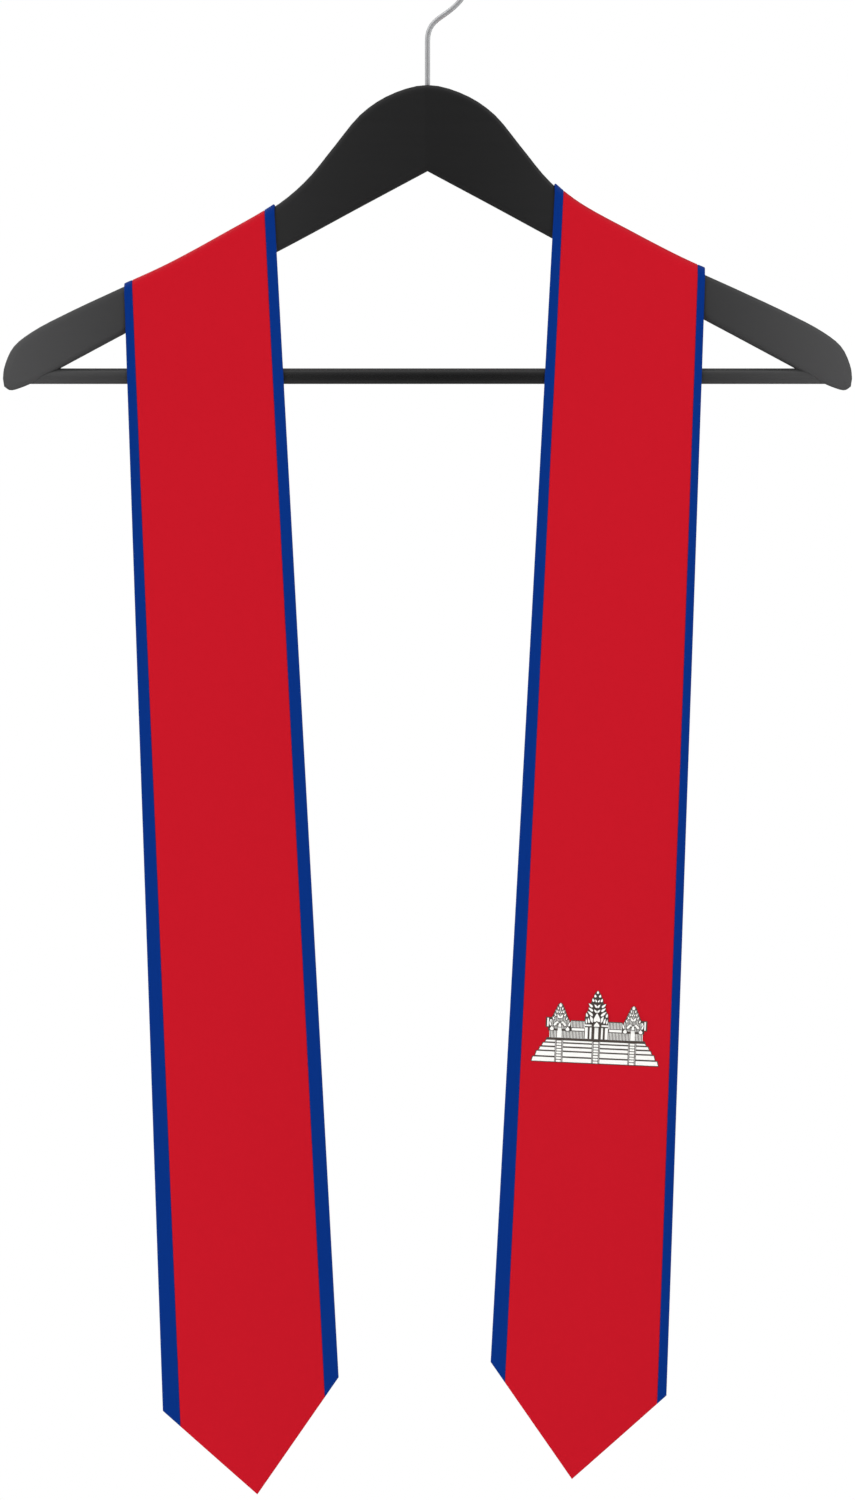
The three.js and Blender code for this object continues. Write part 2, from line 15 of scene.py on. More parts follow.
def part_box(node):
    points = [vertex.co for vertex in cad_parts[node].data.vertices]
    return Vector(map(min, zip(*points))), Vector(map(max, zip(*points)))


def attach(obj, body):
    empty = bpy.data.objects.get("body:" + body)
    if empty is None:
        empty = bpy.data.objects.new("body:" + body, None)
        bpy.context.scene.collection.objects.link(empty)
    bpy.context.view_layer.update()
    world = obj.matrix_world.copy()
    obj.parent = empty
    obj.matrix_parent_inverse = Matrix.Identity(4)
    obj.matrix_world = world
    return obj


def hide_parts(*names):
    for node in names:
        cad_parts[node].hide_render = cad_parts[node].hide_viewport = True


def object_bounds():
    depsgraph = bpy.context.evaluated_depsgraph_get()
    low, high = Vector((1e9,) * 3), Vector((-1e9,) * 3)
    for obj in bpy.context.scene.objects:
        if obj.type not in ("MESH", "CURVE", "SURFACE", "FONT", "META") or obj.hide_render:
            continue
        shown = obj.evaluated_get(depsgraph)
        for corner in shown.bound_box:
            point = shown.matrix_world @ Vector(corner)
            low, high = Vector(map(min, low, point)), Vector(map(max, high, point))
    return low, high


bl_info = {
    "name": "Graduation Stole on a Hanger",
    "version": (1, 0, 0),
    "blender": (4, 5, 0),
    "location": "View3D > Sidebar > Stole",
    "description": "Builds a satin stole with edge trims and a temple emblem on its wooden hanger",
    "category": "Object",
}

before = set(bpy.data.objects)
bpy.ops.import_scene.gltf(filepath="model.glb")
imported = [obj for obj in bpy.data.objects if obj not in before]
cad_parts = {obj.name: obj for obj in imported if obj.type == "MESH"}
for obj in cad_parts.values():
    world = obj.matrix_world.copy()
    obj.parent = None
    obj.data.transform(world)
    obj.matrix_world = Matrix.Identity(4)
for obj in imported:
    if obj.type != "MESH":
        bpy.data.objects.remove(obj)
SOLID_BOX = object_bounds()
BODY_LOW, BODY_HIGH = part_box("hanger_body")
BAR_LOW, BAR_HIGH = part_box("hanger_bar")

MM = 0.001
FIT_GAP = 0.35 * MM  # between the hanger's pieces
SHARP = math.radians(70)  # an edge of the hanger that is bent more is rounded
PLATE_SHARP = 0.9  # and an edge of the temple's plates, in radians
HOOK_HOLE = 50 * MM  # length of the drill for the hook, half of it inside the arch
HOOK_SEAT = 24.6 * MM  # wire inside the arch
HOOK_JOIN = math.radians(-44)  # where the bend from the stem meets the round
HOOK_END = math.radians(204)  # where the round ends
BALL_END = math.radians(172)  # how far round the ball its rings go
BEND_STEPS, ROUND_STEPS, BALL_STEPS = 12, 40, 8  # rings of the wire
HOOK_PULL = 1 / 2.2  # how far the bend keeps to its ends' directions, as a share of its length
BAR_INSET, BAR_EASE = 0.8 * MM, 0.6 * MM  # at the bar's eased ends
REST_GAP = 0.2 * MM  # between the cloth and the hanger
LOOSE_GAP = 0.4 * MM  # more of it before the bar and behind the arch
LOOSE_LENGTH = 0.215  # below the bar, until a strap hangs free
SWAY_LENGTH = 0.43
FOLD_TURN = 0.4  # share of the way over an arm that each of its two rounded edges takes
NECK_TURN = 0.35  # share of the neck in which the strap turns off the arm
NECK_PULL = 1.5  # how slowly the neck leaves the shoulder, as a power
NECK_FOOT = 3.4 * MM  # from the arch's lower edge up to the neck's edge
NECK_HEAD = 3.2 * MM  # from the arch's top edge down to the neck's edge
NECK_DIP = 8 * MM  # how far the neck's inner edge sinks behind the shoulder
NECK_TRIM = 4 * MM
SEAM = 0.06 * MM  # between the two halves, at the back
WANDER, WANDER_LENGTH = 0.055, 0.013  # of the neck's folds, as a share of the width, in metres
SWELL, SWELL_LENGTH = 0.22, 0.019  # how their depth changes on the way
LAP = 0.05 * MM  # how far a piece of cloth reaches into its neighbour
VIEW_Y = -12 * MM  # of the point that the camera looks at
SENSOR = 36
FLOOR_THICK = 20 * MM
SUN_SPREAD = math.radians(50)

# An arm from the crown to its end. Reaches are shares of half the span, drops of the hanger's drop.
ARM_SECTIONS = {
    "top_reach": (
        0, 0.085, 0.155, 0.221, 0.282, 0.348, 0.482, 0.612, 0.729, 0.847, 0.932, 0.976, 0.997, 1),
    "top_drop": (
        0, 0.03, 0.093, 0.203, 0.307, 0.387, 0.497, 0.595, 0.67, 0.747, 0.81, 0.86, 0.926, 0.962),
    "low_reach": (
        0, 0.094, 0.165, 0.231, 0.296, 0.372, 0.499, 0.616, 0.725, 0.833, 0.912, 0.954, 0.983, 0.997),
    "low_drop": (
        0.281, 0.351, 0.404, 0.454, 0.503, 0.559, 0.654, 0.742, 0.823, 0.904, 0.963, 0.99, 1, 0.988),
}

# reach is a share of the inner reach, raised of the tip's drop, lift of the cloth's thickness. The
# trims' widths, at the shoulder and at the end, are shares of the trim's width. flat is the width,
# length and area of a panel as it was cut, in metres.
STRAPS = {
    "left": {"side": -1, "reach": 1, "raised": 0, "lift": 0,
             "outer": (0.48, 1.05), "inner": (0.58, 0.82), "flat": (0.0882, 0.908, 0.0741)},
    "right": {"side": 1, "reach": 0.832, "raised": 0.184, "lift": 2,
              "outer": (0.44, 0.56), "inner": (0.5, 0.85), "flat": (0.0915, 0.892, 0.0752)},
}

# The temple, in millimetres from the middle of its foot: right, up, wide, high.
TEMPLE_STEPS = (
    (0, 0.4, 74.4, 2.4), (0, 3.7, 70.3, 2.5), (0, 7.05, 66.2, 1.65), (0, 9.6, 62.9, 1.55),
    (0, 12, 59.2, 1),
)
STAIR_PLACES = (-21.5, 0.2, 21.5)
STRING_WIDE, STRING_HIGH = 4.8, 13
SIDE_PLACE, SIDE_WIDE, SIDE_HIGH = 1.95, 0.2, 12.7
TREAD_WIDE, TREAD_HIGH, TREAD_PITCH, TREADS = 2.8, 1.15, 1.62, 8
BAR_WIDE, BAR_PITCH, TOWER_BAR_PITCH = 0.37, 0.86, 0.8
STEP_LINE, STEP_TAPER, LEAF_LINE = 0.45, 1.5, 0.34
CAGE, CAGE_MIDDLE = (82 * MM, 8 * MM, 50 * MM), 21.5 * MM  # the lattice round the temple
PILLARS = (
    (-5.8, 14.6, 1.7, 6.7), (-3.3, 14.6, 1.1, 6.7), (0.1, 14.6, 2.3, 7.6), (3.4, 14.6, 1.1, 6.7),
    (6.0, 14.6, 1.7, 6.7), (-21.5, 14.6, 2.3, 6.3), (21.5, 14.6, 2.3, 6.3),
)
BANDS = (
    (-10.7, 19.1, 7.4, 1.4), (11.3, 19.1, 7.4, 1.4), (-4.8, 22, 4.1, 1), (5, 22, 4.1, 1),
    (-28.5, 20.9, 0.95, 5), (28.6, 20.9, 0.95, 5), (-27, 21.6, 0.7, 3.4), (27.1, 21.6, 0.7, 3.4),
)
# Rows of fine bars: from, to, foot, height.
HATCHED = (
    (-27.1, -7.5, 14.5, 4.1), (7.6, 27.2, 14.5, 4.1), (-14.6, -7, 20.9, 3.7),
    (7.1, 14.8, 20.9, 3.7),
)
# Dark plates under the bars and pillars: right, up, wide at the foot, wide at the head, high.
GROUNDS = (
    (0, 13.2, 58.6, 57.8, 1.3), (0, 14.3, 55, 55, 5.2), (0, 19.3, 13.6, 13.6, 4),
    (-10.9, 19, 8.8, 8.4, 6.1), (11.1, 19, 8.8, 8.4, 6.1), (-28, 20.4, 3.6, 3.6, 6),
    (28.1, 20.4, 3.6, 3.6, 6), (-21.5, 18.6, 13.6, 13.6, 3), (21.5, 18.6, 13.6, 13.6, 3),
)
# A tower's outline, as shares of its height and width.
TOWER_OUTLINE = (
    (-0.06, 0.98), (0.22, 1), (0.37, 0.82), (0.5, 0.66), (0.65, 0.5), (0.79, 0.34), (0.94, 0.16),
)
# Leaves of the middle tower and of a side tower, from the apex down: right of the tower's middle, up,
# long, wide, and leaning outwards in degrees. Those with a place to the right stand in pairs.
MIDDLE_LEAVES = (
    (0, 41.2, 1.7, 1.3, 0), (1.25, 39.1, 1.7, 1.4, 10), (2.2, 36.5, 2.0, 1.3, 20),
    (0.45, 36.3, 1.8, 0.9, 28), (2.8, 33.3, 3.0, 1.35, 48), (0.2, 33.1, 2.4, 1.2, 38),
    (2.5, 30.9, 3.2, 1.4, 52), (0.2, 30.2, 2.4, 1.2, 42), (2.5, 28.3, 3.9, 1.5, 50),
    (5.6, 27.5, 2.3, 1.2, 15), (2.1, 24.3, 4.3, 1.8, 26), (4.3, 23.9, 3.2, 1.2, 14),
    (5.9, 23.6, 2.9, 0.9, 6),
)
SIDE_LEAVES = (
    (0, 32.6, 2.2, 1.7, 0), (1.1, 31, 1.5, 0.9, 14), (1.7, 29.1, 1.6, 0.9, 18),
    (0.45, 29, 1.5, 0.8, 25), (2.5, 27.1, 1.8, 1, 22), (0.25, 26, 2.7, 1.3, 34),
    (3.5, 25.1, 1.8, 1, 26), (5.2, 21.4, 2.9, 1.1, 20), (0.9, 23, 1.7, 1, 40),
    (3.4, 21.6, 3.4, 1.5, -38), (4.6, 18.7, 2.4, 2.3, 0),
)
# Towers: right, foot, wide, high, leaves.
TOWERS = (
    (0, 22.3, 13.6, 21, MIDDLE_LEAVES), (-21.5, 20.4, 11.8, 15, SIDE_LEAVES),
    (21.5, 20.4, 11.8, 15, SIDE_LEAVES),
)
LEAF = ((0, 0.55), (0.3, 1), (0.62, 0.8), (1, 0.06))
# Pointed gables over the pillars, each in front of the one before: right, foot, wide, high.
DARK_GABLES = (
    (0.1, 24.3, 4.8, 6), (0.1, 21.5, 5.8, 3.8), (-21.5, 20.6, 2.8, 3.4), (21.5, 20.6, 2.8, 3.4),
)
WHITE_GABLES = (
    (0.1, 24.8, 3.9, 5), (0.1, 21.9, 3.2, 2.7), (-21.5, 20.9, 1.9, 2.6), (21.5, 20.9, 1.9, 2.6),
)
GABLE = ((0, 1), (0.35, 0.94), (0.7, 0.5), (1, 0.05))


def size(name, default, description):
    return bpy.props.FloatProperty(
        name=name, default=default, description=description, unit="LENGTH", min=0, precision=5)


def share(name, default, description):
    return bpy.props.FloatProperty(
        name=name, default=default, description=description, subtype="FACTOR", min=0, max=1)


def altitude(name, default, description):
    return bpy.props.FloatProperty(name=name, default=default, description=description, unit="LENGTH")


def power(name, default, description):
    return bpy.props.FloatProperty(name=name, default=default, description=description, subtype="UNSIGNED")


def colour(name, default, description):
    return bpy.props.FloatVectorProperty(
        name=name, default=default, description=description, subtype="COLOR", size=3, min=0, max=1)


class HangerSizes(bpy.types.PropertyGroup):
    span: size("Span", BODY_HIGH.x - BODY_LOW.x, "From one arm's end to the other's")
    crown: altitude("Crown", BODY_HIGH.z, "Height of the arch's top, below the hook")
    drop: size("Drop", 180 * MM, "From the crown to the arms' lowest point")
    thick: size("Thickness", 14 * MM, "Depth of the arms")
    edge: size("Edge", 4 * MM, "Radius of the arms' rounded edges")
    bow: size("Bow", 10 * MM, "How far the arms' ends stand forward")
    wire: size("Wire", 3 * MM, "Thickness of the hook's wire")
    round: size("Round", 24.7 * MM, "Radius of the hook, to the middle of the wire")
    stem: size("Stem", 26 * MM, "Straight wire above the crown")
    ball: size("Ball", 4.6 * MM, "Thickness of the ball on the wire's end")


class ClothSizes(bpy.types.PropertyGroup):
    thick: size("Thickness", 1.3 * MM, "Doubled satin with its stiffener")
    inner_reach: size("Inner reach", 90 * MM, "From the middle plane to the left strap's inner edge")
    top_width: size("Top width", 88.4 * MM, "Width of a strap on the shoulder")
    outer_depth: size("Outer depth", 780.3 * MM, "From the crown to the left strap's outer corner")
    inner_depth: size("Inner depth", 760.5 * MM, "From the crown to the left strap's inner corner")
    outer_lean: size("Outer lean", 22.8 * MM, "How far the outer edge comes inwards on its way down")
    inner_lean: size("Inner lean", 37.8 * MM, "How far the inner edge comes inwards on its way down")
    tip_drop: size("Tip drop", 49 * MM, "From the outer corner down to the point")
    tip_inset: size("Tip inset", 55.6 * MM, "From the outer corner in to the point")
    trim: size("Trim", 10 * MM, "The widest band of trim")
    belly: size("Belly", 3 * MM, "How far a strap's middle stands forward of its edges")
    sway: size("Sway", 2 * MM, "Depth of the slow wave down a strap")
    gathers: bpy.props.IntProperty(
        name="Gathers", default=3, description="Folds across the neck", subtype="UNSIGNED", min=1, max=6)
    gather_depth: size("Gather depth", 5.2 * MM, "Depth of the folds across the neck")
    thread: size("Thread", 0.42 * MM, "Spacing of the satin's threads")


class TempleSizes(bpy.types.PropertyGroup):
    drop: size("Drop", 484.1 * MM, "From the shoulder down to the steps' lower edge")
    shift: size("Shift", 1.1 * MM, "Outwards from the strap's middle line")
    relief: size("Relief", 0.7 * MM, "How far the towers stand off the cloth")


class StoleColours(bpy.types.PropertyGroup):
    satin: colour("Satin", (0.56, 0.009, 0.02), "Colour of the panels")
    trim: colour("Trim", (0.0028, 0.0305, 0.215), "Colour of the edge bands")
    white: colour("Emblem", (0.94, 0.935, 0.9), "Colour of the temple")
    line: colour("Lines", (0.075, 0.06, 0.052), "Colour of the temple's outlines")
    paint: colour("Paint", (0.0138, 0.0138, 0.014), "Colour of the hanger at its crown")
    # The arms' ends' tone is lighter than the crown's as a painted reflection of the room on the bowed arms.
    mottle_and_painted_reflection: colour("Paint at the ends", (0.0695, 0.0695, 0.0705), "Colour of the hanger at its arms' ends")
    chrome: colour("Chrome", (0.77, 0.775, 0.79), "Colour of the hook")
    floor: colour("Floor", (0.93, 0.93, 0.93), "Colour of the floor")


class StageSizes(bpy.types.PropertyGroup):
    lens: bpy.props.FloatProperty(
        name="Lens", default=250, description="Focal length of the camera", subtype="DISTANCE_CAMERA", min=50)
    view_high: size("View height", 882.35 * MM, "Height that the camera sees at the stole")
    view_middle: altitude("View middle", -480.3 * MM, "Height of the view's middle")
    room: power("Room light", 0.9, "Brightness of the light round the stole")
    dusk: share("Dusk", 0.93, "How much darker the room is in front of the stole and behind it")
    lift: share("Lift", 0.6, "How much brighter the room is above than at the sides")
    key: power("Key light", 1.6, "Strength of the lights from the upper left")
    fill: power("Fill light", 1.45, "Strength of the lights from the lower right")
    floor: size("Floor", 1.7, "Radius of the round floor")
    floor_drop: size("Floor drop", 130 * MM, "From the stole's tips down to the floor")


# Hands: what is selected, moved and finished, as at the bench.


def select_only(piece):
    for other in list(bpy.context.selected_objects):
        other.select_set(False)
    piece.select_set(True)
    bpy.context.view_layer.objects.active = piece


def edit(piece):
    select_only(piece)
    bpy.ops.object.mode_set(mode="EDIT")


def leave_edit():
    bpy.ops.object.mode_set(mode="OBJECT")


def pick(piece, kind, test):
    """Selects the points, edges or faces of an open piece that pass a test."""
    bpy.ops.mesh.select_mode(type=kind)
    bpy.ops.mesh.select_all(action="DESELECT")
    mesh = bmesh.from_edit_mesh(piece.data)
    for part in {"VERT": mesh.verts, "EDGE": mesh.edges, "FACE": mesh.faces}[kind]:
        if test(part):
            part.select_set(True)
    mesh.select_flush_mode()
    bmesh.update_edit_mesh(piece.data)


def turn(angle, axis, centre):
    """Turns what is selected by the right-hand rule; with no window the tool turns the other way."""
    bpy.ops.transform.rotate(
        value=-angle, orient_axis=axis, orient_type="GLOBAL", center_override=tuple(centre))


def settle(piece):
    """Puts a piece's place and turn into its mesh."""
    select_only(piece)
    bpy.ops.object.transform_apply(location=True, rotation=True, scale=True)


def begin():
    """The piece just added, with its turn in its mesh and open for work."""
    piece = bpy.context.object
    settle(piece)
    edit(piece)
    return piece


def select_all():
    bpy.ops.mesh.select_all(action="SELECT")


def extrude(x, y, z):
    bpy.ops.mesh.extrude_region_move(TRANSFORM_OT_translate={"value": (x, y, z)})


def outward():
    """Turns the faces of the open piece outwards."""
    select_all()
    bpy.ops.mesh.normals_make_consistent(inside=False)


def face_outward(piece):
    edit(piece)
    select_all()
    bpy.ops.mesh.remove_doubles(threshold=1e-7)
    outward()
    leave_edit()


def apply_all(piece):
    select_only(piece)
    for modifier in list(piece.modifiers):
        bpy.ops.object.modifier_apply(modifier=modifier.name)


def smooth(piece, degrees):
    select_only(piece)
    bpy.ops.object.shade_smooth_by_angle(angle=math.radians(degrees))


def join(name, pieces):
    select_only(pieces[0])
    for piece in pieces[1:]:
        piece.select_set(True)
    if len(pieces) > 1:
        bpy.ops.object.join()
    pieces[0].name = pieces[0].data.name = name
    return pieces[0]


def copy_of(piece):
    select_only(piece)
    bpy.ops.object.duplicate(linked=False)
    return bpy.context.object


def cut_with(piece, cutter):
    hole = piece.modifiers.new("hole", "BOOLEAN")
    hole.operation = "DIFFERENCE"
    hole.solver = "EXACT"
    hole.object = cutter
    apply_all(piece)
    bpy.data.objects.remove(cutter)


def dress(piece, finish, slot, *nodes):
    """Gives a finished piece its material, its body and the solids that it stands for."""
    piece.data.materials.clear()
    piece.data.materials.append(finish)
    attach(piece, "root")
    if nodes:
        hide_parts(*nodes)


def mix(start, end, part):
    return start + (end - start) * part


def ease(part):
    t = min(1, max(0, part))
    return t * t * (3 - 2 * t)


def clamp(value, low=0.0, high=1.0):
    return min(high, max(low, value))


def curve_point(points, part):
    """A point of the centripetal curve through points, part from 0 to 1."""
    place = (len(points) - 1) * part
    i = min(int(place), len(points) - 2)
    w = place - i
    b, c = points[i], points[i + 1]
    a = points[i - 1] if i else 2 * b - c
    d = points[i + 2] if i + 2 < len(points) else 2 * c - b
    before, here, after = (math.sqrt((q - p).length) for p, q in ((a, b), (b, c), (c, d)))
    out = ((b - a) / before - (c - a) / (before + here) + (c - b) / here) * here
    into = ((c - b) / here - (d - b) / (here + after) + (d - c) / after) * here
    return b + out * w + (3 * (c - b) - 2 * out - into) * w * w + (2 * (b - c) + out + into) * w * w * w


# Shader sums, written as expressions.

MIX_FIRST, MIX_SECOND, MIX_RESULT = 6, 7, 2  # the colour sockets of a Mix node, by their places


class Value:
    """A socket of a shader that adds its own maths nodes."""

    def __init__(self, nodes, socket):
        self.nodes, self.socket = nodes, socket

    def sum(self, operation, *others):
        return self.nodes.node("ShaderNodeMath", {"operation": operation}, dict(enumerate((self, *others))))

    def __rsub__(self, other):
        return (self * -1) + other

    def clip(self):
        return self.nodes.node("ShaderNodeClamp", {}, {"Value": self})


for method, operation in {
    "__add__": "ADD", "__radd__": "ADD", "__mul__": "MULTIPLY", "__rmul__": "MULTIPLY",
    "__sub__": "SUBTRACT", "__truediv__": "DIVIDE", "__mod__": "FLOORED_MODULO", "__pow__": "POWER",
    "__lt__": "LESS_THAN", "__abs__": "ABSOLUTE", "sine": "SINE", "floor": "FLOOR",
}.items():
    setattr(Value, method, lambda self, *others, kind=operation: self.sum(kind, *others))


class Nodes:
    """The nodes of a material or of the room."""

    def __init__(self, tree):
        self.tree = tree

    def node(self, kind, settings=None, inputs=None, out=0):
        """Adds a node, sets it, feeds its sockets and gives one of its outputs."""
        made = self.tree.nodes.new(kind)
        for key, value in (settings or {}).items():
            setattr(made, key, value)
        for key, value in (inputs or {}).items():
            if isinstance(value, Value):
                self.tree.links.new(value.socket, made.inputs[key])
            else:
                made.inputs[key].default_value = value
        return Value(self, made.outputs[out])

    def node_into(self, kind, socket, value):
        self.tree.links.new(value.socket, self.tree.nodes.new(kind).inputs[socket])

    def split(self, vector):
        parts = self.tree.nodes.new("ShaderNodeSeparateXYZ")
        self.tree.links.new(vector.socket, parts.inputs[0])
        return [Value(self, parts.outputs[i]) for i in range(3)]


class Finish(Nodes):
    """A material."""

    def __init__(self, name, colour, **constants):
        self.material = bpy.data.materials.new(name)
        self.material.use_nodes = True
        self.material.diffuse_color = (*colour, 1)
        super().__init__(self.material.node_tree)
        self.shader = self.tree.nodes["Principled BSDF"]
        for key, value in constants.items():
            self.shader.inputs[key.replace("_", " ")].default_value = value

    def feed(self, socket, value):
        self.tree.links.new(value.socket, self.shader.inputs[socket])

    def place(self):
        return self.node("ShaderNodeTexCoord", out="Object")

    def noise(self, vector, scale, detail=3.0, stretch=(1, 1, 1)):
        placed = self.node("ShaderNodeMapping", {}, {"Vector": vector, "Scale": [s * scale for s in stretch]})
        return self.node("ShaderNodeTexNoise", {}, {"Vector": placed, "Scale": 1.0, "Detail": detail})

    def blend(self, factor, first, second):
        """Mixes two colours."""
        sockets = {"Factor": factor, MIX_FIRST: (*first, 1), MIX_SECOND: (*second, 1)}
        return self.node("ShaderNodeMix", {"data_type": "RGBA"}, sockets, out=MIX_RESULT)

    def tones(self, factor, tone, low, high):
        """The base colour, between a darker and a lighter tone."""
        self.feed("Base Color", self.blend(factor, shade(tone, low), shade(tone, high)))

    def bump(self, height, distance, strength):
        sockets = {"Height": height, "Distance": distance, "Strength": strength}
        self.feed("Normal", self.node("ShaderNodeBump", {}, sockets))


def shade(colour, factor):
    return tuple(clamp(c * factor) for c in colour)


def satin_finish(name, tone, thread, turned):
    """Satin in a five-harness weave, on the piece's own map, which is in metres."""
    bright = shade(tone, 1 / max(tone))
    made = Finish(name, tone, Specular_IOR_Level=0.28, Specular_Tint=(*bright, 1), Sheen_Weight=0.1,
                  Sheen_Roughness=0.35, Sheen_Tint=(*bright, 1))
    across, along, _ = made.split(made.node("ShaderNodeUVMap", {"uv_map": "cloth"}))
    if turned:
        across, along = along, across
    warp, weft = across / thread, along / thread
    ribs = abs((warp * math.pi).sine())
    tied = ((warp.floor() * 2 + weft.floor()) % 5) < 0.5
    dip = tied * abs((weft * math.pi).sine())
    height = ribs * (1 - dip * 0.8)
    drift = made.noise(made.place(), 9.0)
    slub = made.noise(made.place(), 900.0, 2.0, (1, 1, 0.07))
    mottle_and_painted_reflection = (height * 0.05 + drift * 0.05 + slub * 0.04).clip()
    made.tones(mottle_and_painted_reflection * 4 - 0.1, tone, 0.94, 1.05)
    made.feed("Roughness", drift * 0.12 + slub * 0.08 + 0.4)
    made.bump(height + slub * 0.5, 0.00005, 0.5)
    return made.material


def patch_finish(name, tone):
    """Stitched cloth: short threads side by side."""
    made = Finish(name, tone, Roughness=0.65, Specular_IOR_Level=0.2)
    right, _, up = made.split(made.place())
    thread, stitch = 0.35 * MM, 2.1 * MM
    threads = abs((up * (math.pi / thread)).sine())
    stitches = abs((right * (math.pi / stitch) + (up / (2 * thread)).floor() * 0.9).sine()) ** 0.4
    drift = made.noise(made.place(), 300.0)
    mottle_and_painted_reflection = (stitches * 0.4 + drift * 0.6).clip()
    made.tones(mottle_and_painted_reflection, tone, 0.93, 1.04)
    made.feed("Roughness", drift * 0.2 + 0.55)
    made.bump(threads * stitches, 0.00008, 0.4)
    return made.material


def paint_finish(name, tone, mottle_and_painted_reflection, reach, gloss, rough):
    """Satin black paint with a faint grain under it. The base colour grows lighter towards the arms' ends, a
    painted reflection of the room on the bowed arms, and is a little lighter on the left half, painted light
    on one side of a ridge down the crown.
    """
    made = Finish(name, tone, Specular_IOR_Level=gloss)
    place = made.place()
    right, _, _ = made.split(place)
    # Share of the way out to an arm's end; it lightens the base colour as a painted reflection.
    outwards = (abs(right) / reach).clip() ** 2
    grain = made.noise(place, 320.0, 4.0, (0.045, 1.5, 1))
    # Painted light: the left half a little lighter, as if lit on one side of a ridge down the crown.
    left = (right < -0.0015) * 0.02
    made.feed("Base Color", made.blend((outwards + left + (grain - 0.5) * 0.03).clip(), tone, mottle_and_painted_reflection))
    made.feed("Roughness", grain * 0.1 + rough)
    made.bump(grain, 0.0001, 0.12)
    return made.material


def chrome_finish(name, tone):
    made = Finish(name, tone, Metallic=0.7, Roughness=0.16)
    drift = made.noise(made.place(), 260.0, 4.0)
    made.tones(drift, tone, 0.9, 1.12)
    made.feed("Roughness", drift * 0.12 + 0.1)
    made.bump(drift, 0.00004, 0.15)
    return made.material


def floor_finish(name, tone):
    made = Finish(name, tone, Roughness=0.6, Specular_IOR_Level=0.2)
    drift = made.noise(made.place(), 4.0)
    made.tones(drift, tone, 0.985, 1.015)
    return made.material


# Hanger


class Arms:
    """The hanger's outline: heights of its upper and lower edge at a reach."""

    def __init__(self, sizes, stations=60):
        self.half, self.bow, self.thick, self.edge = sizes.span / 2, sizes.bow, sizes.thick, sizes.edge
        self.crown = sizes.crown
        upper, lower = (
            [Vector((reach * self.half, self.crown - drop * sizes.drop))
             for reach, drop in zip(ARM_SECTIONS[f"{side}_reach"], ARM_SECTIONS[f"{side}_drop"])]
            for side in ("top", "low")
        )
        mirrored = [Vector((-p.x, p.y)) for p in reversed(upper[1:])] + upper
        self.upper = [curve_point(mirrored, (1 + i / stations) / 2) for i in range(stations + 1)]
        self.lower = [curve_point(lower, i / stations) for i in range(stations + 1)]

    @staticmethod
    def height(line, reach):
        for p, q in zip(line, line[1:]):
            if q.x >= reach:
                return mix(p.y, q.y, (reach - p.x) / (q.x - p.x))
        return line[-1].y

    def top(self, reach):
        return self.height(self.upper, reach)

    def bottom(self, reach):
        return self.height(self.lower, reach)

    def middle(self, reach):
        return -self.bow * (reach / self.half) ** 2


class STOLE_OT_hanger_arms(bpy.types.Operator):
    """Shapes the wooden arch and arms from a strip: outline, thickness, rounded edges, bow and holes"""

    bl_idname = "stole.hanger_arms"
    bl_label = "Hanger Arms"

    def execute(self, context):
        sizes, tones = context.scene.hanger_sizes, context.scene.stole_colours
        arms = Arms(sizes, 44)
        count = len(arms.upper) - 1
        bpy.ops.mesh.primitive_grid_add(
            x_subdivisions=2 * count, y_subdivisions=1, size=1, rotation=(math.pi / 2, 0, 0))
        body = begin()
        bpy.ops.mesh.select_mode(type="VERT")
        for i in range(-count, count + 1):
            for line, level in ((arms.upper, 0.5), (arms.lower, -0.5)):
                goal = line[abs(i)]
                start = Vector((i / (2 * count), 0, level))
                pick(body, "VERT", lambda v: (v.co - start).length < 1e-5)
                # Placed a metre forward first, so that no placed point is taken for one still to be placed.
                bpy.ops.transform.translate(value=Vector((math.copysign(goal.x, i), -1, goal.y)) - start)
        select_all()
        bpy.ops.transform.translate(value=(0, 1, 0))
        for side in (-1, 1):
            pick(body, "FACE", lambda f: f.calc_center_median().x * side > 0.88 * arms.half)
            bpy.ops.mesh.dissolve_faces()
        leave_edit()
        wall = body.modifiers.new("thickness", "SOLIDIFY")
        wall.thickness, wall.offset = sizes.thick, 0
        apply_all(body)
        face_outward(body)
        edit(body)
        pick(body, "EDGE", lambda e: (
            e.calc_face_angle(0) > SHARP and abs(e.verts[0].co.y - e.verts[1].co.y) < 1e-6))
        bpy.ops.mesh.bevel(
            offset=sizes.edge, offset_type="OFFSET", segments=6, profile=0.5, affect="EDGES",
            clamp_overlap=False)
        leave_edit()
        bow = body.modifiers.new("bow", "SIMPLE_DEFORM")
        bow.deform_method, bow.deform_axis = "BEND", "Z"
        bow.angle = -8 * sizes.bow / sizes.span
        apply_all(body)
        bar_radius = (BAR_HIGH.z - BAR_LOW.z) / 2
        bpy.ops.mesh.primitive_cylinder_add(
            vertices=48, radius=bar_radius + FIT_GAP, depth=BAR_HIGH.x - BAR_LOW.x + 2 * FIT_GAP,
            location=(BAR_LOW + BAR_HIGH) / 2, rotation=(0, math.pi / 2, 0))
        cut_with(body, bpy.context.object)
        bpy.ops.mesh.primitive_cylinder_add(
            vertices=32, radius=sizes.wire / 2 + FIT_GAP, depth=HOOK_HOLE, location=(0, 0, sizes.crown))
        cut_with(body, bpy.context.object)
        settle(body)
        smooth(body, 32)
        body.name = body.data.name = "hanger_arms"
        # The paint's lighter arm ends and lighter left half are painted reflection and painted light.
        paint = paint_finish("black_paint", tones.paint, tones.mottle_and_painted_reflection, sizes.span / 2, 0.2, 0.32)
        dress(body, paint, "hanger_paint", "hanger_body")
        return {"FINISHED"}


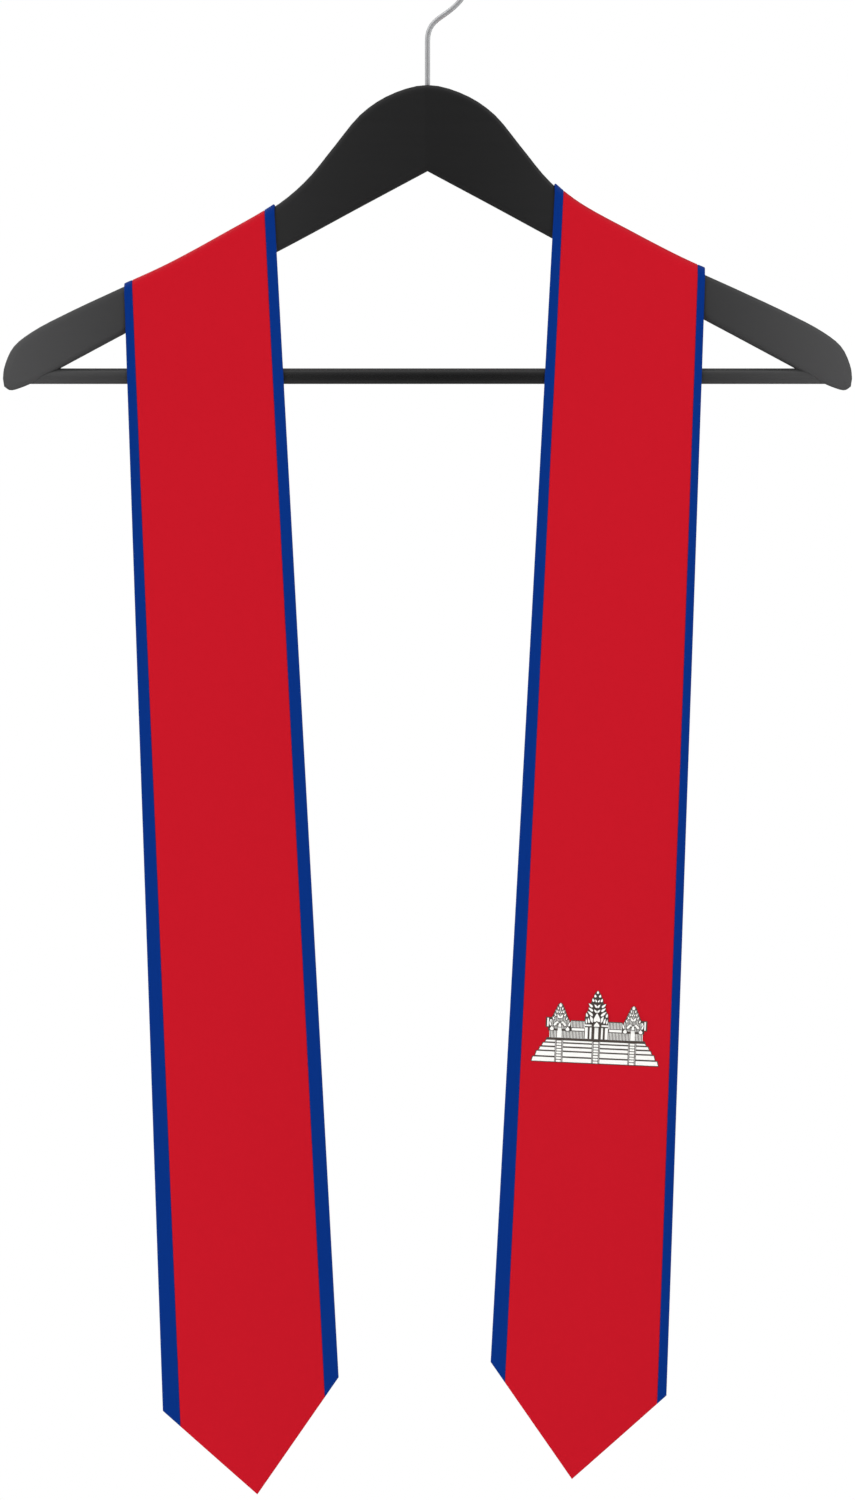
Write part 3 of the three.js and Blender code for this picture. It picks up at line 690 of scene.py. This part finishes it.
class STOLE_OT_hanger_rail(bpy.types.Operator):
    """Turns the round bar between the arms, with eased ends"""

    bl_idname = "stole.hanger_rail"
    bl_label = "Hanger Bar"

    def execute(self, context):
        sizes, tones = context.scene.hanger_sizes, context.scene.stole_colours
        radius = (BAR_HIGH.z - BAR_LOW.z) / 2
        long = BAR_HIGH.x - BAR_LOW.x
        bpy.ops.mesh.primitive_cylinder_add(
            vertices=48, radius=radius, depth=long, end_fill_type="NGON", location=(BAR_LOW + BAR_HIGH) / 2,
            rotation=(0, math.pi / 2, 0))
        bar = begin()
        pick(bar, "FACE", lambda f: abs(f.normal.x) > 0.9)
        bpy.ops.mesh.inset(thickness=BAR_INSET)
        bpy.ops.mesh.inset(thickness=radius * 0.5)
        pick(bar, "EDGE", lambda e: e.calc_face_angle(0) > SHARP)
        bpy.ops.mesh.bevel(offset=BAR_EASE, segments=4, profile=0.5, affect="EDGES")
        leave_edit()
        face_outward(bar)
        smooth(bar, 40)
        bar.name = bar.data.name = "hanger_rail"
        # Darker in the middle and lighter towards the ends, with the same painted reflection and painted
        # light as the arms.
        dark, light = shade(tones.paint, 0.6), shade(tones.mottle_and_painted_reflection, 0.97)
        paint = paint_finish("bar_paint", dark, light, sizes.span / 2, 0.55, 0.2)
        dress(bar, paint, "hanger_paint", "hanger_bar")
        return {"FINISHED"}


class STOLE_OT_hook(bpy.types.Operator):
    """Draws the wire up from the crown, over in a bend and round the hook, and ends it in a ball"""

    bl_idname = "stole.hook"
    bl_label = "Hook"

    def line(self, sizes):
        """Points along the wire's middle, as (x, z)."""
        centre = sizes.wire / 2 - sizes.round
        start = Vector((0, sizes.crown + sizes.stem))
        meet = Vector((sizes.round * math.cos(HOOK_JOIN), centre + sizes.round * math.sin(HOOK_JOIN)))
        pull = (meet - start).length * HOOK_PULL
        first = start + Vector((0, pull))
        second = meet - Vector((-math.sin(HOOK_JOIN), math.cos(HOOK_JOIN))) * pull
        points = [Vector((0, sizes.crown - HOOK_SEAT)), Vector((0, sizes.crown))]
        for i in range(BEND_STEPS + 1):
            t = i / BEND_STEPS
            u = 1 - t
            points.append(u**3 * start + 3 * u * u * t * first + 3 * u * t * t * second + t**3 * meet)
        for i in range(1, ROUND_STEPS + 1):
            angle = mix(HOOK_JOIN, HOOK_END, i / ROUND_STEPS)
            points.append(Vector((sizes.round * math.cos(angle), centre + sizes.round * math.sin(angle))))
        return points

    def execute(self, context):
        sizes, tones = context.scene.hanger_sizes, context.scene.stole_colours
        points = self.line(sizes)
        bpy.ops.mesh.primitive_circle_add(
            vertices=20, radius=sizes.wire / 2, fill_type="NGON", location=(points[0].x, 0, points[0].y))
        hook = begin()
        bpy.ops.mesh.select_mode(type="FACE")
        select_all()
        heading = math.pi / 2
        for i in range(1, len(points)):
            here, there = points[i - 1], points[i]
            following = points[min(i + 1, len(points) - 1)]
            step = there - here
            extrude(step.x, 0, step.y)
            after = following - there if following != there else step
            into, out = math.atan2(step.y, step.x), math.atan2(after.y, after.x)
            # Half-way between the stretch before and the one after, and never the long way round.
            change = math.remainder(out - into, 2 * math.pi)
            goal = into + change / 2
            turn(-math.remainder(goal - heading, 2 * math.pi), "Y", (there.x, 0, there.y))
            heading = goal
        tip = points[-1]
        along = Vector((math.cos(heading), math.sin(heading)))
        radius, ball = sizes.wire / 2, sizes.ball / 2
        first = math.asin(radius / ball)
        wide, gone = radius, 0
        for i in range(1, BALL_STEPS + 1):
            angle = mix(first, BALL_END, i / BALL_STEPS)
            reach = ball * (math.cos(first) - math.cos(angle))
            move = along * (reach - gone)
            extrude(move.x, 0, move.y)
            centre = tip + along * reach
            factor = ball * math.sin(angle) / wide
            bpy.ops.transform.resize(value=(factor,) * 3, center_override=(centre.x, 0, centre.y))
            wide, gone = ball * math.sin(angle), reach
        leave_edit()
        face_outward(hook)
        smooth(hook, 60)
        hook.name = hook.data.name = "hook_wire"
        dress(hook, chrome_finish("chrome", tones.chrome), "hook_chrome", "hanger_hook")
        return {"FINISHED"}


# Cloth


class Strap:
    """The middle of one half's cloth. across runs 0 to 1 from the outer edge to the inner one, along
    0 to 1 up the front, 1 to 2 over the arm, and 2 to 3 behind the arch to the seam."""

    def __init__(self, name, cloth, hanger):
        self.row, self.cloth, self.arms = STRAPS[name], cloth, Arms(hanger, 120)
        self.off = REST_GAP + cloth.thick / 2
        self.bar_z = (BAR_LOW.z + BAR_HIGH.z) / 2
        self.bar_front = BAR_LOW.y
        self.tip = cloth.tip_inset / (self.end_reach(0) - self.end_reach(1))

    def shoulder_reach(self, across):
        return self.cloth.inner_reach * self.row["reach"] + self.cloth.top_width * (1 - across)

    def shoulder_z(self, across):
        return self.arms.top(self.shoulder_reach(across)) - self.arms.edge

    def end_reach(self, across):
        outer = self.shoulder_reach(0) - self.cloth.outer_lean
        return mix(outer, self.shoulder_reach(1) - self.cloth.inner_lean, across)

    def end_z(self, across):
        level = self.arms.crown + self.row["raised"] * self.cloth.tip_drop
        outer, inner = level - self.cloth.outer_depth, level - self.cloth.inner_depth
        point = outer - self.cloth.tip_drop
        if across < self.tip:
            return mix(outer, point, across / self.tip)
        return mix(point, inner, (across - self.tip) / (1 - self.tip))

    def front_y(self, across, z):
        reach, arms = self.shoulder_reach(across), self.arms
        start = self.shoulder_z(across)
        arm = arms.middle(reach) - arms.thick / 2 - self.off
        bar = self.bar_front - self.off - LOOSE_GAP
        below = self.bar_z - z
        loose = ease(below / LOOSE_LENGTH)
        belly = self.cloth.belly * (1 - (2 * across - 1) ** 2)
        sway = self.cloth.sway * math.sin(2 * math.pi * below / SWAY_LENGTH)
        return mix(arm, bar, ease((start - z) / (start - self.bar_z))) - loose * (belly + sway)

    def front(self, across, up):
        reach = mix(self.end_reach(across), self.shoulder_reach(across), up)
        z = mix(self.end_z(across), self.shoulder_z(across), up)
        return Vector((self.row["side"] * reach, self.front_y(across, z), z))

    def fold(self, across, part):
        arms, reach = self.arms, self.shoulder_reach(across)
        slope = (arms.top(reach + MM) - arms.top(reach - MM)) / (2 * MM)
        lift = self.row["lift"] * self.cloth.thick * (1 - across)
        rise = self.off * math.hypot(1, slope) + lift + arms.edge
        flat = arms.thick / 2 - arms.edge
        ahead = math.pi / 2 * (1 - min(1, part / FOLD_TURN))
        swing = ahead if ahead > 0 else -math.pi / 2 * max(0, (part - 1 + FOLD_TURN) / FOLD_TURN)
        level = mix(-flat, flat, clamp((part - FOLD_TURN) / (1 - 2 * FOLD_TURN)))
        y = arms.middle(reach) + level - (arms.edge + self.off) * math.sin(swing)
        return Vector((self.row["side"] * reach, y, arms.top(reach) - arms.edge + rise * math.cos(swing)))

    def neck(self, across, part):
        arms = self.arms
        reach = mix(self.shoulder_reach(across), SEAM / 2, part**NECK_PULL)
        turned = ease(part / NECK_TURN)
        low = arms.bottom(reach) + NECK_FOOT
        high = arms.top(reach) - NECK_HEAD - NECK_DIP * (1 - turned)
        outer, inner = self.seams(2 + part)
        trim = NECK_TRIM / (high - low)
        goals = (0, mix(outer, trim, turned), mix(inner, 1 - trim, turned), 1)
        level = float(np.interp(across, (0, outer, inner, 1), goals))
        z = mix(arms.top(reach) - arms.edge, mix(low, high, level), turned)
        panel = clamp((across - outer) / (inner - outer))
        # The folds wander a little on their way to the seam, the same on both halves.
        wander = WANDER * math.sin(reach / WANDER_LENGTH) * math.sin(math.pi * panel)
        wave = (0.5 - 0.5 * math.cos(2 * math.pi * self.cloth.gathers * clamp(panel + wander))) ** 0.8
        deep = self.cloth.gather_depth * (1 - SWELL * math.cos(reach / SWELL_LENGTH)) * wave
        skin = arms.middle(reach) + arms.thick / 2 + self.off
        return Vector((self.row["side"] * reach, skin + turned * (deep + LOOSE_GAP), z))

    def point(self, across, along):
        if along <= 1:
            return self.front(across, along)
        return self.fold(across, along - 1) if along <= 2 else self.neck(across, along - 2)

    def seams(self, along):
        """Where the trims' inner edges run, as values of across."""
        up = min(1, along)
        wide = mix(self.end_reach(0) - self.end_reach(1), self.cloth.top_width, up)
        outer, inner = (
            mix(end, top, up) * self.cloth.trim / wide for top, end in (self.row["outer"], self.row["inner"]))
        return outer, 1 - inner

    def normal(self, across, along):
        a, s = clamp(across, 0.012, 0.988), clamp(along, 1e-3, 3 - 1e-3)
        wide = self.point(a + 0.012, s) - self.point(a - 0.012, s)
        long = self.point(a, s + 1e-3) - self.point(a, s - 1e-3)
        face = wide.cross(long) * self.row["side"]
        if along == 3:
            face.x = 0
        return face.normalized()

    def stations(self):
        """Values of along, close together at the hem, over the arm and at the seam."""
        hem = [0, 0.0002, 0.0006, 0.0012]
        front = [mix(0.003, 1, 1 - (1 - i / 170) ** 1.35) for i in range(170)]
        fold = [1 + i / 24 for i in range(24)]
        neck = [mix(2, 2.995, (i / 56) ** 1.15) for i in range(57)]
        return hem + front + fold + neck + [2.9975, 2.999, 3]

    def across_at(self, reach, z):
        """across of the front's point at a reach and a height."""
        across = 0.5
        for _ in range(6):
            end = self.end_z(across)
            up = (z - end) / (self.shoulder_z(across) - end)
            outer = mix(self.end_reach(0), self.shoulder_reach(0), up)
            inner = mix(self.end_reach(1), self.shoulder_reach(1), up)
            across = (outer - reach) / (outer - inner)
        return across


def cloth_piece(name, strap, bounds, columns, thick):
    """A closed piece of cloth between two seams, with rounded edges and a map in metres."""
    rows = strap.stations()
    wide_count, long_count = len(columns), len(rows)
    grid = np.zeros((long_count, wide_count, 3))
    faces_out = np.zeros_like(grid)
    for r, along in enumerate(rows):
        start, end = bounds(along)
        wide = mix(strap.end_reach(0) - strap.end_reach(1), strap.cloth.top_width, min(1, along))
        start, end = max(0, start - LAP / wide), min(1, end + LAP / wide)
        for c, column in enumerate(columns):
            across = mix(start, end, column)
            grid[r, c] = strap.point(across, along)
            faces_out[r, c] = strap.normal(across, along)
    steps_wide = np.linalg.norm(np.diff(grid, axis=1), axis=2)
    steps_long = np.linalg.norm(np.diff(grid, axis=0), axis=2)
    zero_wide, zero_long = np.zeros((long_count, 1)), np.zeros((1, wide_count))
    from_left = np.concatenate([zero_wide, np.cumsum(steps_wide, axis=1)], axis=1)
    from_foot = np.concatenate([zero_long, np.cumsum(steps_long, axis=0)], axis=0)
    from_edge = np.minimum(from_left, from_left[:, -1:] - from_left)
    from_end = np.minimum(from_foot, from_foot[-1:, :] - from_foot)
    radius = thick / 2
    rounded = [np.sqrt(1 - (1 - np.clip(d / radius, 0, 1)) ** 2) for d in (from_edge, from_end)]
    half = faces_out * (radius * rounded[0] * rounded[1])[:, :, None]
    front, back = grid + half, grid - half
    inside = np.zeros((long_count, wide_count), bool)
    inside[1:-1, 1:-1] = True
    front_ids = np.arange(long_count * wide_count).reshape(long_count, wide_count)
    back_ids = front_ids.copy()
    back_ids[inside] = long_count * wide_count + np.arange(inside.sum())
    points = np.concatenate([front.reshape(-1, 3), back[inside]])
    across_map = from_left - from_left[:, -1:] / 2
    flat_map = np.stack([across_map, from_foot], axis=2)
    maps = np.concatenate([flat_map.reshape(-1, 2), flat_map[inside]])
    quads = []
    for ids, flip in ((front_ids, False), (back_ids, True)):
        a, b, c, d = ids[:-1, :-1], ids[:-1, 1:], ids[1:, 1:], ids[1:, :-1]
        order = (a, d, c, b) if flip else (a, b, c, d)
        quads.append(np.stack(order, axis=2).reshape(-1, 4))
    mesh = bpy.data.meshes.new(name)
    mesh.from_pydata(points.tolist(), [], np.concatenate(quads).tolist())
    layer = mesh.uv_layers.new(name="cloth")
    corners = np.zeros(len(mesh.loops), int)
    mesh.loops.foreach_get("vertex_index", corners)
    layer.data.foreach_set("uv", maps[corners].ravel())
    mesh.validate()
    piece = bpy.data.objects.new(name, mesh)
    bpy.context.scene.collection.objects.link(piece)
    edit(piece)
    outward()
    leave_edit()
    smooth(piece, 60)
    return piece


def edge_columns(wide, step, thick, marks=()):
    """Shares of a width: close together at the rounded edges, then even, with marks kept."""
    radius = thick / 2
    edge = [radius * s / wide for s in (0, 0.08, 0.3, 0.62, 1)]
    count = max(1, round((wide - 2 * radius) / step))
    middle = [mix(edge[-1], 1 - edge[-1], i / count) for i in range(1, count)]
    for mark in marks:
        nearest = min(range(len(middle)), key=lambda i: abs(middle[i] - mark))
        middle[nearest] = mark
    return edge + middle + [1 - e for e in reversed(edge)]


class STOLE_OT_panels(bpy.types.Operator):
    """Cuts and hangs the two red panels, from the pointed ends over the arms to the seam behind the arch"""

    bl_idname = "stole.panels"
    bl_label = "Panels"

    def execute(self, context):
        scene = context.scene
        cloth = scene.cloth_sizes
        satin = satin_finish("red_satin", scene.stole_colours.satin, cloth.thread, False)
        for name in STRAPS:
            strap = Strap(name, cloth, scene.hanger_sizes)
            outer, inner = strap.seams(0)
            mark = (strap.tip - outer) / (inner - outer)
            columns = edge_columns(cloth.top_width, 1.9 * MM, cloth.thick, [mark])
            panel = cloth_piece(f"panel_{name}", strap, strap.seams, columns, cloth.thick)
            dress(panel, satin, "satin_red", f"{name}_panel")
        return {"FINISHED"}


class STOLE_OT_trims(bpy.types.Operator):
    """Lays the four blue bands along the panels' edges"""

    bl_idname = "stole.trims"
    bl_label = "Trims"

    def execute(self, context):
        scene = context.scene
        cloth = scene.cloth_sizes
        satin = satin_finish("blue_satin", scene.stole_colours.trim, cloth.thread, True)
        thick = cloth.thick * 1.12
        for name in STRAPS:
            strap = Strap(name, cloth, scene.hanger_sizes)
            columns = edge_columns(6 * MM, 0.9 * MM, thick)
            sides = {
                "outer": lambda along: (0, strap.seams(along)[0]),
                "inner": lambda along: (strap.seams(along)[1], 1),
            }
            for side, bounds in sides.items():
                band = cloth_piece(f"trim_{name}_{side}", strap, bounds, columns, thick)
                dress(band, satin, "trim_blue", f"{name}_{side}_trim")
        return {"FINISHED"}


# Temple emblem


def plate(rows, thick, rest=0.0, columns=1, ease_edge=0.0):
    """A flat plate in the temple's plane. rows are (right, up, wide), in millimetres, from foot to
    head; it stands from rest to rest + thick off the cloth."""
    count = len(rows) - 1
    bpy.ops.mesh.primitive_grid_add(
        x_subdivisions=columns, y_subdivisions=count, size=1, rotation=(math.pi / 2, 0, 0))
    piece = begin()
    for i, (right, up, wide) in enumerate(rows):
        level = i / count - 0.5
        pick(piece, "VERT", lambda v: abs(v.co.z - level) < 1e-4 and v.co.y > -0.5)
        bpy.ops.transform.resize(value=(wide * MM, 1, 1), center_override=(0, 0, level))
        bpy.ops.transform.translate(value=(right * MM, -1, up * MM - level))
    select_all()
    bpy.ops.transform.translate(value=(0, 1 - rest * MM, 0))
    extrude(0, -thick * MM, 0)
    outward()
    if ease_edge:
        front = -(rest + thick) * MM
        pick(piece, "EDGE", lambda e: (
            e.calc_face_angle(0) > PLATE_SHARP and all(abs(v.co.y - front) < 1e-6 for v in e.verts)))
        bpy.ops.mesh.bevel(offset=ease_edge * MM, segments=2, affect="EDGES")
    leave_edit()
    return piece


def box_rows(right, up, wide, high, taper=0.0):
    return ((right, up, wide), (right, up + high, wide - taper))


class STOLE_OT_temple(bpy.types.Operator):
    """Builds the white temple on its dark outlines and lays it on the right strap"""

    bl_idname = "stole.temple"
    bl_label = "Temple Emblem"

    def grounds(self):
        made = [plate(((x, z, low), (x, z + high, head)), 0.22, 0, 8) for x, z, low, head, high in GROUNDS]
        for i, (x, z, wide, high) in enumerate(TEMPLE_STEPS):
            low = (x, z - STEP_LINE, wide + 2 * STEP_LINE)
            top = (x, z + high + STEP_LINE, wide - STEP_TAPER + 2 * STEP_LINE)
            made.append(plate((low, top), 0.21 + 0.002 * i, 0, 12))
        for x, z, wide, high, _ in TOWERS:
            rows = [(x, z + up * high, share_wide * wide + 0.5) for up, share_wide in TOWER_OUTLINE]
            made.append(plate(rows, 0.24, 0, 4))
        return join("temple_ground", made)

    def steps(self):
        made = [plate(box_rows(*row, STEP_TAPER), 0.3, 0.2, 14, 0.08) for row in TEMPLE_STEPS]
        return join("temple_steps", made)

    def stairs(self):
        """Dark strings with white treads: one tread is made and copied."""
        strings = [plate(box_rows(x, 0.3, STRING_WIDE, STRING_HIGH), 0.14, 0.45) for x in STAIR_PLACES]
        tread = plate(box_rows(0, 0, TREAD_WIDE, TREAD_HIGH), 0.22, 0.55, 1, 0.06)
        sides = [x + side * SIDE_PLACE for x in STAIR_PLACES for side in (-1, 1)]
        treads = [plate(box_rows(x, 0.4, SIDE_WIDE, SIDE_HIGH), 0.2, 0.55, 1, 0.04) for x in sides]
        for x in STAIR_PLACES:
            for i in range(TREADS):
                made = copy_of(tread)
                made.location = (x * MM, 0, (0.35 + TREAD_PITCH * i) * MM)
                settle(made)
                treads.append(made)
        bpy.data.objects.remove(tread)
        return join("temple_stair_lines", strings), join("temple_treads", treads)

    def galleries(self):
        """Walls and roofs of fine bars: one bar is made and copied."""
        bar = plate(box_rows(0, 0, BAR_WIDE, 1), 0.2, 0.15)
        rows = []
        for start, end, foot, high in HATCHED:
            count = round((end - start) / BAR_PITCH)
            rows += [(mix(start, end, i / count), foot, high) for i in range(count + 1)]
        for right, foot, wide, high, _ in TOWERS[1:]:
            ups, widths = zip(*TOWER_OUTLINE)
            count = 2 * round(wide / (2 * TOWER_BAR_PITCH))
            for i in range(1, count):
                across = abs(2 * i / count - 1)
                top = float(np.interp(-across, [-w for w in widths[1:]], ups[1:]))
                rows.append((right + wide * (i / count - 0.5), foot - 0.04 * high, (top + 0.02) * high))
        made = []
        for right, foot, high in rows:
            copy = copy_of(bar)
            copy.location = (right * MM, -0.08 * MM, foot * MM)
            copy.scale = (1, 1, high)
            settle(copy)
            made.append(copy)
        bpy.data.objects.remove(bar)
        return join("temple_galleries", made)

    def gables(self, relief):
        """Pointed arches over the pillars, white on dark."""
        made = []
        kinds = (("temple_gables", WHITE_GABLES, 0.76), ("temple_gable_lines", DARK_GABLES, 0.7))
        for name, table, lift in kinds:
            plates = []
            for i, (right, foot, wide, high) in enumerate(table):
                rows = [(right, foot + up * high, part * wide) for up, part in GABLE]
                plates.append(plate(rows, 0.2, relief / MM + lift + 0.12 * (i % 2), 2))
            made.append(join(name, plates))
        return made

    def leaf(self, ridge):
        """One leaf of a tower, a unit high and wide, with a ridge down its middle or flat."""
        leaf = plate([(0, up * 1000, wide * 1000) for up, wide in LEAF], 120, 0, 2)
        if ridge:
            edit(leaf)
            pick(leaf, "VERT", lambda v: abs(v.co.x) < 1e-4 and v.co.y < -0.05 and 0.01 < v.co.z < 0.95)
            bpy.ops.transform.translate(value=(0, -ridge, 0))
            leave_edit()
        return leaf

    def towers(self, relief):
        """Leaves, the lower ones in front, each on a dark leaf that is a little larger."""
        white, dark = self.leaf(0.16), self.leaf(0)
        leaves, lines = [], []
        kinds = ((white, 0, 0.7, 0, leaves), (dark, LEAF_LINE, 0.5, 0.07, lines))
        for middle, _, _, _, table in TOWERS:
            for level, (place, up, long, wide, lean) in enumerate(table):
                rest = 0.55 + relief / MM * level / len(table)
                for side in (-1, 1) if place else (1,):
                    tilt = side * math.radians(lean)
                    for leaf, margin, deep, back, made in kinds:
                        copy = copy_of(leaf)
                        copy.rotation_euler = (0, tilt, 0)
                        copy.scale = Vector((wide + 2 * margin, deep, long + 2 * margin)) * MM
                        x, z = middle + side * place - margin * math.sin(tilt), up - margin * math.cos(tilt)
                        copy.location = (x * MM, (back - rest) * MM, z * MM)
                        settle(copy)
                        made.append(copy)
        bpy.data.objects.remove(white)
        bpy.data.objects.remove(dark)
        return join("temple_leaves", leaves), join("temple_leaf_lines", lines)

    def execute(self, context):
        scene = context.scene
        sizes, tones = scene.temple_sizes, scene.stole_colours
        strap = Strap("right", scene.cloth_sizes, scene.hanger_sizes)
        ground = self.grounds()
        steps = self.steps()
        lines, treads = self.stairs()
        galleries = self.galleries()
        pillars = join("temple_pillars", [plate(box_rows(*row), 0.55, 0.2, 1, 0.1) for row in PILLARS])
        bands = join("temple_bands", [plate(box_rows(*row), 0.5, 0.2, 4, 0.1) for row in BANDS])
        leaves, leaf_lines = self.towers(sizes.relief)
        gables, gable_lines = self.gables(sizes.relief)
        foot = (strap.front(0, 0) + strap.front(1, 0)) / 2
        head = strap.front(0.5, 1)
        up = Vector((head.x - foot.x, 0, head.z - foot.z)).normalized()
        right = Vector((up.z, 0, -up.x))
        place = head - up * sizes.drop + right * sizes.shift
        place.y = 0
        out = Vector((0, 1, 0))
        stand = Matrix((right, out, up)).transposed().to_4x4()
        stand.translation = place
        bpy.ops.object.add(type="LATTICE", location=(0, 0, 0))
        cage = bpy.context.object
        data = cage.data
        data.points_u, data.points_v, data.points_w = 13, 2, 9
        data.interpolation_type_u = data.interpolation_type_v = data.interpolation_type_w = "KEY_LINEAR"
        around = Matrix.Translation((0, 0, CAGE_MIDDLE)) @ Matrix.Diagonal((*CAGE, 1))
        cage.matrix_world = stand @ around
        bpy.context.view_layer.update()
        back = cage.matrix_world.inverted()
        for point in data.points:
            spot = cage.matrix_world @ point.co
            across = strap.across_at(spot.x, spot.z)
            face = strap.front_y(across, spot.z) - strap.cloth.thick / 2
            point.co_deform = back @ Vector((spot.x, spot.y + face, spot.z))
        white = patch_finish("white_stitching", tones.white)
        dark = patch_finish("outline_stitching", tones.line)
        outlines = (ground, lines, leaf_lines, gable_lines)
        for piece in (*outlines, steps, treads, galleries, pillars, bands, leaves, gables):
            piece.matrix_world = stand
            settle(piece)
            laid = piece.modifiers.new("laid on the cloth", "LATTICE")
            laid.object = cage
            apply_all(piece)
            smooth(piece, 30)
            dress(piece, dark if piece in outlines else white, "emblem_white")
        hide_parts("emblem")
        bpy.data.objects.remove(cage)
        return {"FINISHED"}


class STOLE_OT_hang(bpy.types.Operator):
    """Takes no step: the cloth is already built in its hanging shape by the panels and the trims"""

    bl_idname = "stole.hang"
    bl_label = "Hang the Cloth"

    def execute(self, context):
        return {"FINISHED"}


class STOLE_OT_stage(bpy.types.Operator):
    """Sets the floor, the lights and the camera"""

    bl_idname = "stole.stage"
    bl_label = "Stage"

    def execute(self, context):
        scene = context.scene
        sizes = scene.stage_sizes
        low = SOLID_BOX[0]
        bpy.ops.mesh.primitive_circle_add(
            vertices=96, radius=sizes.floor, fill_type="NGON", location=(0, 0, low.z - sizes.floor_drop))
        floor = begin()
        select_all()
        extrude(0, 0, -FLOOR_THICK)
        outward()
        leave_edit()
        floor.name = floor.data.name = "floor"
        floor.visible_glossy = False
        floor.data.materials.append(floor_finish("pale_floor", scene.stole_colours.floor))

        world = bpy.data.worlds.new("studio")
        scene.world = world
        world.use_nodes = True
        nodes = Nodes(world.node_tree)
        nodes.tree.nodes.clear()
        _, inward, upward = nodes.split(nodes.node("ShaderNodeTexCoord", out="Generated"))
        level = (1 - abs(inward) ** 0.5 * sizes.dusk) * (upward * sizes.lift + 1) * sizes.room
        room = nodes.node("ShaderNodeBackground", {}, {"Strength": level})
        seen = nodes.node("ShaderNodeBackground", {}, {"Strength": 1.0})
        for background in (room, seen):
            background.socket.node.inputs["Color"].default_value = (1, 1, 1, 1)
        to_camera = nodes.node("ShaderNodeLightPath")
        shown = nodes.node("ShaderNodeMixShader", {}, {0: to_camera, 1: room, 2: seen})
        nodes.node_into("ShaderNodeOutputWorld", "Surface", shown)

        for name, toward, strength in (
            ("key_front", (0.45, 0.8, -0.5), sizes.key), ("fill_front", (-0.5, 0.8, 0.25), sizes.fill),
            ("key_back", (0.45, -0.8, -0.5), sizes.key), ("fill_back", (-0.5, -0.8, 0.25), sizes.fill)
        ):
            bpy.ops.object.light_add(
                type="SUN", location=(0, 0, 0), rotation=Vector(toward).to_track_quat("-Z", "Y").to_euler())
            light = bpy.context.object
            light.name = name
            light.data.energy, light.data.angle = strength, SUN_SPREAD
            light.visible_glossy = False

        middle = Vector((0, VIEW_Y, sizes.view_middle))
        far = sizes.lens / SENSOR * sizes.view_high
        bpy.ops.object.camera_add(location=middle - Vector((0, far, 0)), rotation=(math.pi / 2, 0, 0))
        camera = bpy.context.object
        camera.name = "camera"
        camera.data.lens, camera.data.sensor_width = sizes.lens, SENSOR
        scene.camera = camera
        scene.view_settings.view_transform = "Standard"
        return {"FINISHED"}


OPERATORS = (
    STOLE_OT_hanger_arms,
    STOLE_OT_hanger_rail,
    STOLE_OT_hook,
    STOLE_OT_panels,
    STOLE_OT_trims,
    STOLE_OT_temple,
    STOLE_OT_hang,
    STOLE_OT_stage,
)
GROUPS = {
    "hanger_sizes": HangerSizes,
    "cloth_sizes": ClothSizes,
    "temple_sizes": TempleSizes,
    "stole_colours": StoleColours,
    "stage_sizes": StageSizes,
}


class STOLE_PT_pieces(bpy.types.Panel):
    """The stole's sizes, colours and pieces"""

    bl_idname = "STOLE_PT_pieces"
    bl_label = "Stole on a Hanger"
    bl_space_type = "VIEW_3D"
    bl_region_type = "UI"
    bl_category = "Stole"

    def draw(self, context):
        for operator in OPERATORS:
            self.layout.operator(operator.bl_idname)
        for key, group in GROUPS.items():
            box = self.layout.box()
            for name in group.__annotations__:
                box.prop(getattr(context.scene, key), name)


def register():
    for kind in (*GROUPS.values(), *OPERATORS, STOLE_PT_pieces):
        bpy.utils.register_class(kind)
    for key, group in GROUPS.items():
        setattr(bpy.types.Scene, key, bpy.props.PointerProperty(type=group))


def unregister():
    for key in GROUPS:
        delattr(bpy.types.Scene, key)
    for kind in reversed((*GROUPS.values(), *OPERATORS, STOLE_PT_pieces)):
        bpy.utils.unregister_class(kind)


def main():
    register()
    for operator in OPERATORS:
        group, name = operator.bl_idname.split(".")
        getattr(getattr(bpy.ops, group), name)()


if __name__ == "__main__":
    main()
